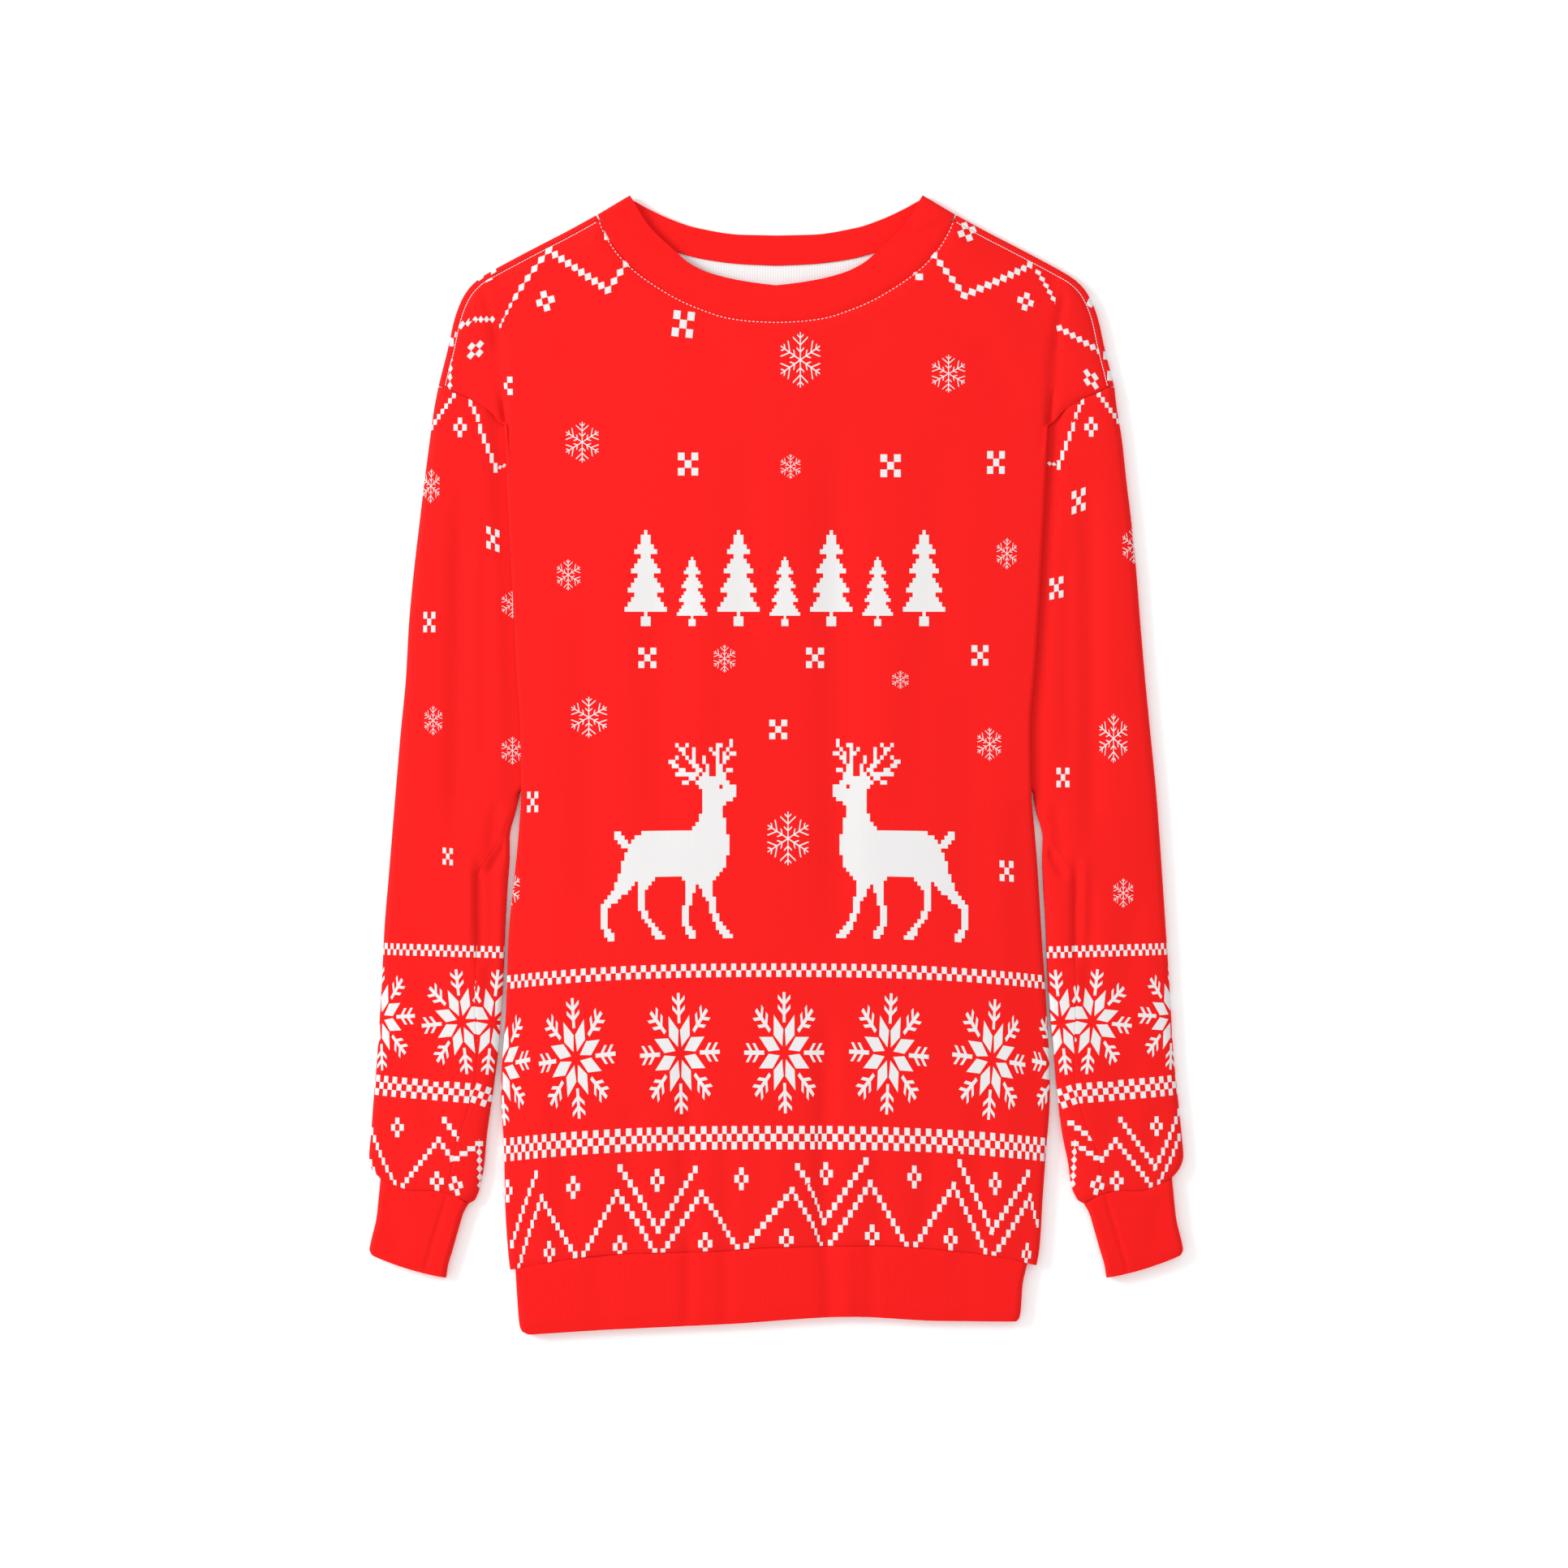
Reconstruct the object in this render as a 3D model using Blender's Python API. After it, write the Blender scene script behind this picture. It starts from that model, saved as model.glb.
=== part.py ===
"""A crew-neck sweatshirt that lies flat with its front up.

Units in the tables are millimetres, and the scene is in metres. The origin lies on the surface
under the middle of the garment: +Y is towards the neck, +Z is up. "Out" is the distance from
the centre line, and "level" is the distance above the middle of the garment, along Y.
"""
import math

import bmesh
import bpy
import numpy as np
from mathutils import Vector

for thing in list(bpy.data.objects):
    bpy.data.objects.remove(thing, do_unlink=True)

MM = 0.001

# Driving sizes.
CLOTH = 2.0         # fleece-backed jersey
RIB = 2.6           # doubled rib of the waistband and cuffs
NECK_RIB = 3.0      # doubled rib of the neckband
SEAM = 0.4          # what two pieces that are sewn together stand apart
BODY_TOP = 7.6      # height of the front where the two layers lie on each other
SIDE_TOP = 6.4      # height of the front's rolled sides
SIDE_ROLL = 3.2     # radius of those sides
LAP_ROLL = 2.6      # radius of the front's edge where it lies over a sleeve
LAP_SWEEP = 70      # degrees that this edge turns down
SHOULDER_ROLL = 3.0  # radius of the back where it comes over the shoulder
SHOULDER_INSET = 3.8  # from the shoulder's outline in to its seam
SLEEVE_ROLL = 3.0   # radius of a sleeve's folded edges
SLEEVE_DOME = 1.4   # how far a sleeve's middle rises above its edges
PRESSED = 4.6       # height of a sleeve where the front lies over it
UNDER_LAP = 6.0     # how far a sleeve reaches under the front
BAND_TOP = 7.0      # height of the waistband and cuffs
BAND_ROLL = 3.4     # radius of their folded sides
NECK_TOP = 7.0      # height of the neckband's front half
UNDERARM = -17.0    # level where a sleeve leaves the body
SIDE_BLEND = 14.0   # below the underarm, where the front's side turns from a lap into a roll
SIDE_SLOPE = 25.0   # how far in from a rolled side the front reaches its full height
HEM_BLEND = -240.0  # level below which the rows take the hem's curve
SHOULDER_FALL = 1.5  # how much the front falls towards the shoulders
NECK_FALL = 0.5     # how much it falls towards its upper edge
LAP_LEDGE = 1.2     # how much it drops beside the end of its lap
CAP_SWELL = 0.9     # how far the shoulder swells between the fold and the armhole
CAP_SEAM = 6.0      # height of the front at the armhole and shoulder seams
PRESS_BLEND = 18.0  # above the armpit, where a sleeve gets pressed flat by the front
BAND_FALL = 0.9     # how much the waistband and cuffs thin out towards their folded edge
LIP_FALL = 0.5      # the same for the neckband
LAP_FOOT = 208.5    # level where the armhole seam goes in under the front


def table(columns, rows):
    """Names the columns of a short table."""
    return dict(zip(columns.split(), np.array(rows, float).T))


# The front's folded edges, from the hem up to the shoulders.
BODY = table("level left right", [
    (-308, 162, 157),
    (-286, 165, 162),
    (-262, 167, 164),
    (-239, 167.5, 166),
    (-200, 169.5, 168.5),
    (-152, 166.5, 166.5),
    (-108, 165, 163.5),
    (-67, 161, 161),
    (-47, 159, 159.5),
    (-17, 157, 157),
    (21, 157.5, 156.5),
    (61, 160, 159.5),
    (100, 162, 162),
    (138, 164, 164),
    (185, 166.5, 166.5),
    (208, 168, 168),
    (231, 169, 169),
    (261, 171.5, 171.5),
    (302, 173, 173),
])

# How far in from the edge the side seam runs underneath, and a little at the armpit.
SIDE_SEAM = table("level inset", [
    (-320, 15.6),
    (-40, 15.6),
    (-29, 3.8),
    (-23, 3.7),
    (-17, 3),
])

# Where the body meets the waistband.
HEM = table("across level", [
    (-165, -311),
    (-132, -304.5),
    (-93, -300.5),
    (-40, -299),
    (0, -296.5),
    (61, -295.5),
    (107, -298.5),
    (135, -302),
    (160, -308),
])

HEM_TOP = -295.5

# The waistband's lower edge and its sides, which are shares of the way down.
WAIST_FOOT = table("across level", [
    (-160, -351),
    (-105, -347.5),
    (-31, -344),
    (47, -339.5),
    (100, -342),
    (155, -342.5),
])
WAIST_SIDES = table("down left right", [
    (0, 160.5, 154.5),
    (0.4, 159.5, 151.5),
    (0.85, 158, 150.3),
    (0.95, 156.5, 149.5),
    (1, 153, 148),
])

# A sleeve's outer and inner folded edges.
SLEEVE_OUTER = table("level left right", [
    (-254, 244, 243.5),
    (-249, 249, 248),
    (-241, 250.5, 250.5),
    (-229, 249.5, 249.5),
    (-209, 248, 247.5),
    (-179, 245.5, 244.5),
    (-129, 242.5, 241.5),
    (-99, 241, 239.5),
    (-69, 238.5, 237.5),
    (-20, 234.5, 234),
    (21, 231, 230),
    (52, 228, 227),
    (87, 226, 224),
    (119, 223, 221.5),
    (149, 219.5, 218.5),
    (174, 216.5, 215.5),
    (201, 213, 212.5),
    (219, 210.5, 209.5),
    (232, 208, 208),
])
SLEEVE_INNER = table("level left right", [
    (-270, 189, 189),
    (-268, 185.5, 185.5),
    (-259, 182, 181.5),
    (-245, 179.5, 179.5),
    (-228, 178, 176),
    (-200, 174, 172.5),
    (-171, 170.5, 170),
    (-157, 169.5, 168.5),
    (-129, 167.7, 166.7),
    (-97, 166.5, 165.5),
    (-72, 165, 164),
    (-57, 164, 163.5),
    (-45, 164, 163.8),
    (-28, 160, 159.5),
    (-17, 157.7, 157.7),
])

# The underarm seam, which runs from the armpit out over the sleeve's front: its distance
# from the middle of the folded edge, measured along the cloth.
UNDERARM_SEAM = table("level along_cloth", [
    (-270, 19.5),
    (-247, 20.5),
    (-228, 17.5),
    (-210, 15),
    (-192, 13.5),
    (-139, 18.7),
    (-108, 19.2),
    (-68, 21.2),
    (-59, 16.7),
    (-49, 9.7),
    (-38, 5.2),
    (-24, 2.5),
    (-17, 0),
])

# The armhole seam where it shows: shares of the way from the outer edge in to the body's
# edge, and of the 24 mm that the seam falls on the way.
ARMHOLE = table("across fall", [
    (0, 0),
    (0.1, 0.03),
    (0.24, 0.15),
    (0.43, 0.27),
    (0.5, 0.33),
    (0.74, 0.56),
    (1, 0.98),
    (1.2, 1.15),
])
ARMHOLE_TOP = 232.2
ARMHOLE_FALL = 24.0
ARMHOLE_WIDTH = 40.0
BACK_ARMHOLE_FALL = 22.0

# The same for the seam between a sleeve and its cuff.
CUFF_SEAM = table("across fall", [
    (0, 0),
    (0.15, 0.22),
    (0.38, 0.46),
    (0.6, 0.46),
    (0.8, 0.62),
    (1, 1),
])
CUFF_FALL = 15.5

# The back armhole seam, hidden underneath.
BACK_ARMHOLE = table("level out", [
    (UNDERARM, 156),
    (222.5, 190.5),
    (232.2, 206),
])
BACK_BASE = 222.7   # level where the back starts to widen to the shoulders

# The outline of a shoulder, from the sleeve's top in to the neckband.
SHOULDER = table("out level", [
    (207.8, 232.8),
    (205.8, 241),
    (203.2, 251),
    (200.9, 261),
    (198.8, 271),
    (195.7, 281),
    (190.6, 291),
    (184, 298),
    (179.6, 301),
    (161.6, 311),
    (142.5, 321),
    (130.8, 327),
    (119.4, 333.2),
    (110.9, 337.9),
])

# The neckband's four edges, from its centre out to its fold on the shoulder.
NECK_FRONT_SEAM = table("out level", [
    (0, 272.5),
    (12, 273),
    (29, 275),
    (45, 280),
    (59, 286),
    (72, 293.5),
    (85, 302.5),
    (95, 312),
    (101, 320),
    (105.5, 328),
    (108.3, 335.2),
])
NECK_FRONT_EDGE = table("out level", [
    (0, 294.5),
    (9, 295.5),
    (25, 298),
    (42, 302.5),
    (54, 308.5),
    (62, 315.5),
    (72, 324.5),
    (79, 332),
    (88.3, 347.2),
])
NECK_BACK_SEAM = table("out level", [
    (0, 307),
    (22, 308),
    (45, 311),
    (62, 315.5),
    (78, 321.5),
    (95, 329.3),
    (108.3, 335.2),
])
NECK_BACK_EDGE = table("out level", [
    (0, 325.5),
    (22, 326),
    (49, 330.2),
    (65, 335.5),
    (79, 342),
    (88.3, 347.2),
])
NECK_FOLD = Vector((0.51, 0.86, 0))   # the way that the neckband's fold points, on the +X side
NECK_ROLL = 3.5

# A cuff from its seam down: its outer and inner corners.
CUFF = table("down outer outer_level inner inner_level", [
    (0, 243.5, -254.5, 189.2, -270),
    (0.2, 244.5, -265, 192.5, -276),
    (0.45, 246, -279, 195.5, -286),
    (0.75, 249.3, -293, 199.5, -300),
    (0.9, 250.3, -298.5, 202, -308.5),
    (1, 249, -301.5, 203, -315.5),
])
CUFF_SAG = 1.6      # how far a cuff's lower edge bows below the line between its corners

# The largest soft folds of the upper layer, as troughs between two points.
FOLDS = table("x0 y0 x1 y1 width depth", [
    (-199, 0, -188, -100, 9, 0.8),
    (-204, 145, -203, 25, 8, 0.5),
    (-181, -68, -182, -108, 4, 1.0),
    (198, 0, 187, -100, 9, 0.8),
    (203, 145, 202, -20, 8, 0.5),
    (181, -68, 182, -108, 4, 1.0),
    (-53, -230, -56, -298, 8, 0.6),
    (-31, -240, -30, -298, 7, 0.4),
    (31, -215, 35, -298, 9, 0.7),
    (60, -235, 62, -298, 7, 0.4),
    (-120, -180, -150, -60, 14, 0.4),
    (125, -190, 150, -70, 14, 0.4),
    (-75, 120, -20, 60, 16, 0.35),
    (80, 130, 25, 70, 16, 0.35),
])

RED = (0.85, 0.017, 0.014, 1)
RIB_RED = (0.83, 0.015, 0.012, 1)
SIDES = {"left": -1, "right": 1}


def curve(xs, ys, at):
    """Reads a smooth curve that runs through the points and never swings past them."""
    xs, ys = np.asarray(xs, float), np.asarray(ys, float)
    steps = np.diff(xs)
    slopes = np.diff(ys) / steps
    tangents = np.concatenate([slopes[:1], np.zeros(len(slopes) - 1), slopes[-1:]])
    before, after = slopes[:-1], slopes[1:]
    same_way = before * after > 0
    tangents[1:-1][same_way] = (2 * before * after / (before + after + 1e-12))[same_way]
    i = np.clip(np.searchsorted(xs, at) - 1, 0, len(xs) - 2)
    t = np.clip((at - xs[i]) / steps[i], 0, 1)
    h = steps[i]
    return ((2 * t**3 - 3 * t**2 + 1) * ys[i] + (t**3 - 2 * t**2 + t) * h * tangents[i]
            + (3 * t**2 - 2 * t**3) * ys[i + 1] + (t**3 - t**2) * h * tangents[i + 1])


def ease(value):
    """0 below 0, 1 above 1, and a soft step between."""
    value = np.clip(value, 0, 1)
    return value * value * (3 - 2 * value)


def along(points, shares):
    """Places at shares of the length of a line of points."""
    points = np.asarray(points, float)
    run = np.concatenate([[0], np.cumsum(np.linalg.norm(np.diff(points, axis=0), axis=1))])
    shares = np.asarray(shares) * run[-1]
    return np.stack([np.interp(shares, run, axis) for axis in points.T], axis=-1)


def stretch(points, start, end, count):
    """Count equal steps along part of a line of points, between two distances."""
    points = np.asarray(points, float)
    length = np.linalg.norm(np.diff(points, axis=0), axis=1).sum()
    return along(points, np.linspace(start / length, min(end / length, 1), count + 1))


def fine(points, count=80):
    """The smooth curve of an outline table, as many short steps."""
    outs, levels = points["out"], points["level"]
    steps = np.concatenate([[0], np.cumsum(np.hypot(np.diff(outs), np.diff(levels)))])
    at = np.linspace(0, steps[-1], count)
    return np.stack([curve(steps, outs, at), curve(steps, levels, at)], axis=-1)


def moved(points, by):
    """An outline moved sideways: to the right of the way it runs, seen from above."""
    way = np.gradient(points, axis=0)
    way /= np.linalg.norm(way, axis=1, keepdims=True)
    return points + by * np.stack([way[:, 1], -way[:, 0]], axis=-1)


def folds(x, y):
    """How deep the soft folds are at a place."""
    depth = 0.0
    for x0, y0, x1, y1, width, deepest in zip(*FOLDS.values()):
        run = np.hypot(x1 - x0, y1 - y0)
        share = ((x - x0) * (x1 - x0) + (y - y0) * (y1 - y0)) / run**2
        aside = abs((x - x0) * (y1 - y0) - (y - y0) * (x1 - x0)) / run
        ends = ease(4 * share) * ease(4 * (1 - share))
        depth += deepest * ends * math.exp(-(aside / width)**2)
    return depth


def edge(side, level):
    """How far out the front's folded edge is."""
    return curve(BODY["level"], BODY[side], level)


def hem(x):
    return curve(HEM["across"], HEM["level"], x)


def near_hem(x, level):
    """A straight row's level, bent to the hem's curve as it comes near."""
    return level + (hem(x) - HEM_TOP) * ease((level - HEM_BLEND) / (HEM_TOP - HEM_BLEND))


def arc(middle, up, out_radius, up_radius, start, end, count):
    """Points round a rolled edge: distance out and height, between two angles in degrees."""
    angles = np.radians(np.linspace(start, end, count))
    return np.stack([middle + out_radius * np.cos(angles), up + up_radius * np.sin(angles)], -1)


def cloth(name, points, wall, colour, ring=False):
    """A sheet through a grid of points (rows of columns, in mm), thickened inward.

    Where a point is None, the sheet is cut away.
    """
    rows, columns = len(points) - 1, len(points[0]) - 1
    sheet = bmesh.new()
    bmesh.ops.create_grid(sheet, x_segments=columns, y_segments=rows, size=0.5)
    cut = []
    for vert in sheet.verts:
        i, j = round((vert.co.x + 0.5) * columns), round((vert.co.y + 0.5) * rows)
        if points[j][i] is None:
            cut.append(vert)
        else:
            vert.co = Vector(points[j][i]) * MM
    bmesh.ops.delete(sheet, geom=cut, context="VERTS")
    if ring:
        bmesh.ops.remove_doubles(sheet, verts=sheet.verts, dist=1e-7)
    mesh = bpy.data.meshes.new(name)
    sheet.to_mesh(mesh)
    sheet.free()
    mesh.shade_smooth()
    made = bpy.data.objects.new(name, mesh)
    bpy.context.scene.collection.objects.link(made)
    thick = made.modifiers.new("Wall", "SOLIDIFY")
    thick.thickness = wall * MM
    thick.offset = -1
    thick.use_even_offset = True
    finish = bpy.data.materials.new(name)
    finish.use_nodes = True
    shader = finish.node_tree.nodes["Principled BSDF"]
    shader.inputs["Base Color"].default_value = colour
    shader.inputs["Roughness"].default_value = 0.9
    shader.inputs["Metallic"].default_value = 0
    mesh.materials.append(finish)
    return made


# ---- Outlines that two pieces share ----

def shoulder_line(inset):
    """A shoulder's outline moved in, from the sleeve in to the neck."""
    return moved(fine(SHOULDER), -inset)


def neckline(seam, by):
    """One half of the neck seam moved out of the neck, from the shoulder in to the centre."""
    return moved(fine(seam)[::-1], -by)


def armhole_level(out):
    """Level of the armhole seam that shows, at a distance out."""
    across = (SHOULDER["out"][0] - out) / ARMHOLE_WIDTH
    return ARMHOLE_TOP - ARMHOLE_FALL * curve(ARMHOLE["across"], ARMHOLE["fall"], across)


def back_armhole(level):
    return np.interp(level, BACK_ARMHOLE["level"], BACK_ARMHOLE["out"])


# ---- Front ----

LAP_STEPS = 8
SHOULDER_STEPS, NECK_STEPS = 3, 8
FRONT_COLUMNS = 2 * (SHOULDER_STEPS + NECK_STEPS)
FRONT_LEVELS = [HEM_TOP, -284, -240, -210, -175, -140, -105, -75, -52, -40, -31, -26, -21, -17,
                0, 40, 85, 130, 165, 190, LAP_FOOT]
CAP_LEVELS = [213, 218, 223, 227.5, 231.7, 240, 252, 264, 276, 287, 294.5]


def body_height(x, y, below_top):
    """Height of the front's upper side, from where it is and how far below its top edge."""
    side = "left" if x < 0 else "right"
    inward = edge(side, y) - abs(x)
    rolled = (BODY_TOP - SIDE_TOP) * ease((UNDERARM - y) / SIDE_BLEND)
    height = BODY_TOP - rolled * (1 - ease((inward - SIDE_ROLL) / SIDE_SLOPE))
    height -= SHOULDER_FALL * (1 - ease(below_top / 16)) * ease((abs(x) - 95) / 25)
    height -= NECK_FALL * (1 - ease(below_top / 10))
    return height - folds(x, y)


def lap(side, level):
    """The front's side from the top of its roll to its seam: distance out and height."""
    drop = ease((UNDERARM - level) / SIDE_BLEND)
    top = BODY_TOP - (BODY_TOP - SIDE_TOP) * drop
    roll = LAP_ROLL + (SIDE_ROLL - LAP_ROLL) * drop
    sweep = LAP_SWEEP - 35 * ease((level - 170) / 35)
    sweep += (180 - sweep) * drop
    middle = edge(side, level) - roll
    turned = arc(middle, top - roll, roll, roll, 90, 90 - sweep, 25)
    seam = edge(side, level) - curve(SIDE_SEAM["level"], SIDE_SEAM["inset"], level) + SEAM
    if seam < turned[-1][0] and sweep > 179:
        turned = np.vstack([turned, [seam, turned[-1][1]]])
    return along(turned, np.linspace(0, 1, LAP_STEPS + 1))


def cap_edge():
    """The front's edge outside the lap: up the armhole seam, then the shoulder seam."""
    outs = np.linspace(edge("left", LAP_FOOT), SHOULDER["out"][0] - SHOULDER_INSET - 0.3, 30)
    armhole = np.stack([outs, armhole_level(outs) + 0.3], -1)
    shoulder = shoulder_line(SHOULDER_INSET)
    shoulder = shoulder[shoulder[:, 1] > armhole[-1][1] + 0.5]
    return armhole, shoulder


def front_rows():
    """The front's grid, from the hem up and from its left seam to its right one."""
    rows = []
    for level in FRONT_LEVELS:
        ends = {side: lap(side, level) for side in SIDES}
        xs = np.linspace(-ends["left"][0][0], ends["right"][0][0], FRONT_COLUMNS + 1)
        row = [(-out, level, height) for out, height in ends["left"][:0:-1]]
        row += [(x, level, body_height(x, level, 60)) for x in xs]
        row += [(out, level, height) for out, height in ends["right"][1:]]
        rows.append([(x, near_hem(x, y) + SEAM / 2 * (level < -250), z) for x, y, z in row])

    armhole, shoulder = cap_edge()
    corner = np.argmin(abs(shoulder[:, 1] - CAP_LEVELS[-1]))
    outer = np.vstack([armhole, shoulder[:corner + 1]])
    fold_top = shoulder[np.argmin(abs(shoulder[:, 0] - BODY["left"][-1]))]
    seam = shoulder[shoulder[:, 0] <= fold_top[0] + 0.01]
    neck = neckline(NECK_FRONT_SEAM, SEAM / 2)
    half = np.vstack([along(seam, np.linspace(0, 1, SHOULDER_STEPS + 1)),
                      along(neck, np.linspace(0, 1, NECK_STEPS + 1))[1:]])
    top = np.vstack([half * (-1, 1), half[-2::-1]])
    cap_top = shoulder[corner:len(shoulder) - len(seam) + 1]
    base = [np.array(point[:2]) for point in rows[-1][LAP_STEPS:-LAP_STEPS]]
    for level in CAP_LEVELS:
        share = (level - LAP_FOOT) / (CAP_LEVELS[-1] - LAP_FOOT)
        middle = [low + (high - low) * share for low, high in zip(base, top)]
        tops = [body_height(x, y, (1 - share) * (high[1] - low[1]))
                for (x, y), low, high in zip(middle, base, top)]
        at_seam = np.array([np.interp(level, outer[:, 1], outer[:, 0]), level])
        sides = []
        for inner, height in ((middle[0], tops[0]), (middle[-1], tops[-1])):
            inner = np.abs(inner)
            side = []
            for step in range(1, LAP_STEPS + 1):
                part = step / LAP_STEPS
                out, y = inner + (at_seam - inner) * part
                if level == CAP_LEVELS[-1]:
                    out, y = along(cap_top, 1 - part)
                ledge = LAP_LEDGE * (1 - share)**2 * ease(3 * part)
                seam_height = CAP_SEAM + 1 - ease(5 * share)
                slope = (height - ledge) + (seam_height - height + ledge) * part
                swell = CAP_SWELL * 4 * part * (1 - part) * ease(4 * share)
                side.append((out, y, slope + swell))
            sides.append(side)
        left, right = sides
        rows.append([(-out, y, z) for out, y, z in left[::-1]]
                    + [(x, y, z) for (x, y), z in zip(middle, tops)]
                    + [(out, y, z) for out, y, z in right])
    return rows


# ---- Back ----

# Shares of the way along a shoulder where the back's columns end, closer round its bend.
SHOULDER_SHARES = [0, 0.1, 0.2, 0.29, 0.36, 0.41, 0.46, 0.52, 0.62, 0.76, 0.9, 1]
BACK_LEVELS = [HEM_TOP, -284, -240, -210, -175, -140, -105, -75, -40, -31, -26, -21, -17, -8, 5,
               90, 175, BACK_BASE]
ROLL_STEPS = 6


def back_edge(side, level):
    """How far out the back reaches: the side seam, then the hidden armhole seam."""
    if level > UNDERARM:
        return back_armhole(level) - SEAM - 1.5 * (1 - ease((level - UNDERARM) / 20))
    return edge(side, level) - curve(SIDE_SEAM["level"], SIDE_SEAM["inset"], level)


def back_rows():
    """The back's grid, from the hem up, its right edge first, so that it faces down."""
    inset = SHOULDER_INSET - 2 * SEAM
    outline = along(fine(SHOULDER), SHOULDER_SHARES)
    inner = along(shoulder_line(inset), SHOULDER_SHARES)
    outward = (outline - inner) / inset
    neck = along(neckline(NECK_BACK_SEAM, SEAM / 2), np.linspace(0, 1, NECK_STEPS + 1))[1:]
    half = np.vstack([inner, neck])
    top = np.vstack([half, half[-2::-1] * (-1, 1)])

    rows = []
    for level in BACK_LEVELS:
        xs = np.linspace(back_edge("right", level), -back_edge("left", level), len(top))
        rows.append([(x, near_hem(x, level) + SEAM / 2 * (level < -250), 0) for x in xs])
    base = [np.array(point[:2]) for point in rows[-1]]
    for share in (0.3, 0.6, 0.85, 1.0):
        rows.append([(*(low + (high - low) * share), 0) for low, high in zip(base, top)])

    # Over the shoulders the cloth rolls up and forward. Along the neck it ends here.
    for step in range(1, ROLL_STEPS + 1):
        turn = math.pi * step / ROLL_STEPS
        height = SHOULDER_ROLL * (1 - math.cos(turn))
        rolled = inner + outward * inset * math.sin(turn)
        right = [(x, y, height) for x, y in rolled]
        left = [(-x, y, height) for x, y in rolled[::-1]]
        rows.append(right + [None] * (len(top) - 2 * len(rolled)) + left)
    return rows


# ---- Sleeves ----

SLEEVE_LEVELS = [-254, -251, -246, -240, -228, -210, -190, -165, -138, -108, -84, -68, -58, -49,
                 -40, -31, -24, -17, -12, -5, 12, 50, 95, 135, 165, 190, 208, 221, 231.8]
SLEEVE_PARTS = (6, 5, 3, 2, 4)   # steps over the top, round, underneath, up, and on to the seam


def sleeve_row(side, level):
    """One ring of a sleeve: out, level and height from the front seam edge round to the other.

    The level is the one at the sleeve's outer edge.
    """
    rise = ARMHOLE_FALL * np.clip((level - 160) / 72, 0, 1)**1.2
    back_rise = BACK_ARMHOLE_FALL / ARMHOLE_FALL * rise
    drop = CUFF_FALL * ease((-200 - level) / 50)
    outer = curve(SLEEVE_OUTER["level"], SLEEVE_OUTER[side], level)
    inner_level = level - rise - drop
    body = edge(side, inner_level)
    open_row = level > UNDERARM
    inner = body if open_row else curve(SLEEVE_INNER["level"], SLEEVE_INNER[side], inner_level)
    press = ease((level - UNDERARM + PRESS_BLEND) / PRESS_BLEND)
    small = SLEEVE_ROLL - (SLEEVE_ROLL - PRESSED / 2) * press
    width = outer - inner

    def height(out):
        across = (outer - out) / width
        dome = SLEEVE_DOME * (1 - abs(2 * np.clip(across, 0, 1) - 1)**4)
        full = 2 * SLEEVE_ROLL + (2 * small - 2 * SLEEVE_ROLL) * ease(across) + dome
        full -= folds(SIDES[side] * out, level - (rise + drop) * across)
        return full - (full - PRESSED) * press * (1 - ease((out - body) / 12))

    def top(start):
        outs = np.linspace(start, outer - SLEEVE_ROLL, 40)
        return np.stack([outs, [height(out) for out in outs]], -1)

    over, round_, under, up, on = SLEEVE_PARTS
    outer_roll = arc(outer - SLEEVE_ROLL, SLEEVE_ROLL, SLEEVE_ROLL, SLEEVE_ROLL, 90, -90, 25)
    if open_row:
        hidden = body - UNDER_LAP * ease((level - UNDERARM) / 20) - 1.5
        back = outer
        for _ in range(8):
            back = back_armhole(level - back_rise * (outer - back) / width)
        parts = [along(top(hidden), np.linspace(0, 1, over + 1)),
                 along(outer_roll, np.linspace(0, 1, round_ + 1)),
                 np.linspace((outer - SLEEVE_ROLL, 0), (back, 0), under + up + on + 1)]
    else:
        seam = curve(UNDERARM_SEAM["level"], UNDERARM_SEAM["along_cloth"], inner_level)
        start = arc(inner + small, small, small, small, 180, 90, 13)
        start = np.vstack([start, top(inner + small)[1:]])
        length = np.linalg.norm(np.diff(start, axis=0), axis=1).sum()
        lower = arc(inner + small, small, small, small, 270, 180, 13)
        flat = np.linspace((outer - SLEEVE_ROLL, 0), (inner + small, 0), under + 1)
        parts = [stretch(start, seam + SEAM / 2, length, over),
                 along(outer_roll, np.linspace(0, 1, round_ + 1)),
                 flat,
                 along(lower, np.linspace(0, 1, up + 1)),
                 stretch(start, 0, max(seam - SEAM / 2, 0.05), on)]
        if seam < SEAM:
            parts[-1] = np.repeat(lower[-1:], on + 1, axis=0)
            parts[-2] = along(lower[:-1], np.linspace(0, 0.9, up + on + 1))
            parts[-1] = parts[-2][up:]
            parts[-2] = parts[-2][:up + 1]
    points = np.vstack([parts[0]] + [part[1:] for part in parts[1:]])
    row = []
    for step, (out, up_to) in enumerate(points):
        across = (outer - out) / width
        fall = rise * curve(ARMHOLE["across"], ARMHOLE["fall"], across)
        if step > over + round_ / 2:
            fall = back_rise * max(across, 0)
        fall += drop * curve(CUFF_SEAM["across"], CUFF_SEAM["fall"], across)
        row.append((SIDES[side] * out, level - fall, up_to))
    return row


def sleeve_rows(side):
    """A sleeve's grid from the cuff up, turned so that it faces out on either side."""
    rows = [sleeve_row(side, level) for level in SLEEVE_LEVELS]
    return [row[::-1] for row in rows] if side == "left" else rows


# ---- Bands: flattened rings ----

BAND_TOPS, BAND_ENDS = 13, 6
BAND_SHARES = (1, 0.95, 0.85, 0.6, 0.3, 0)   # rows of a band, from its folded edge up


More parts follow.
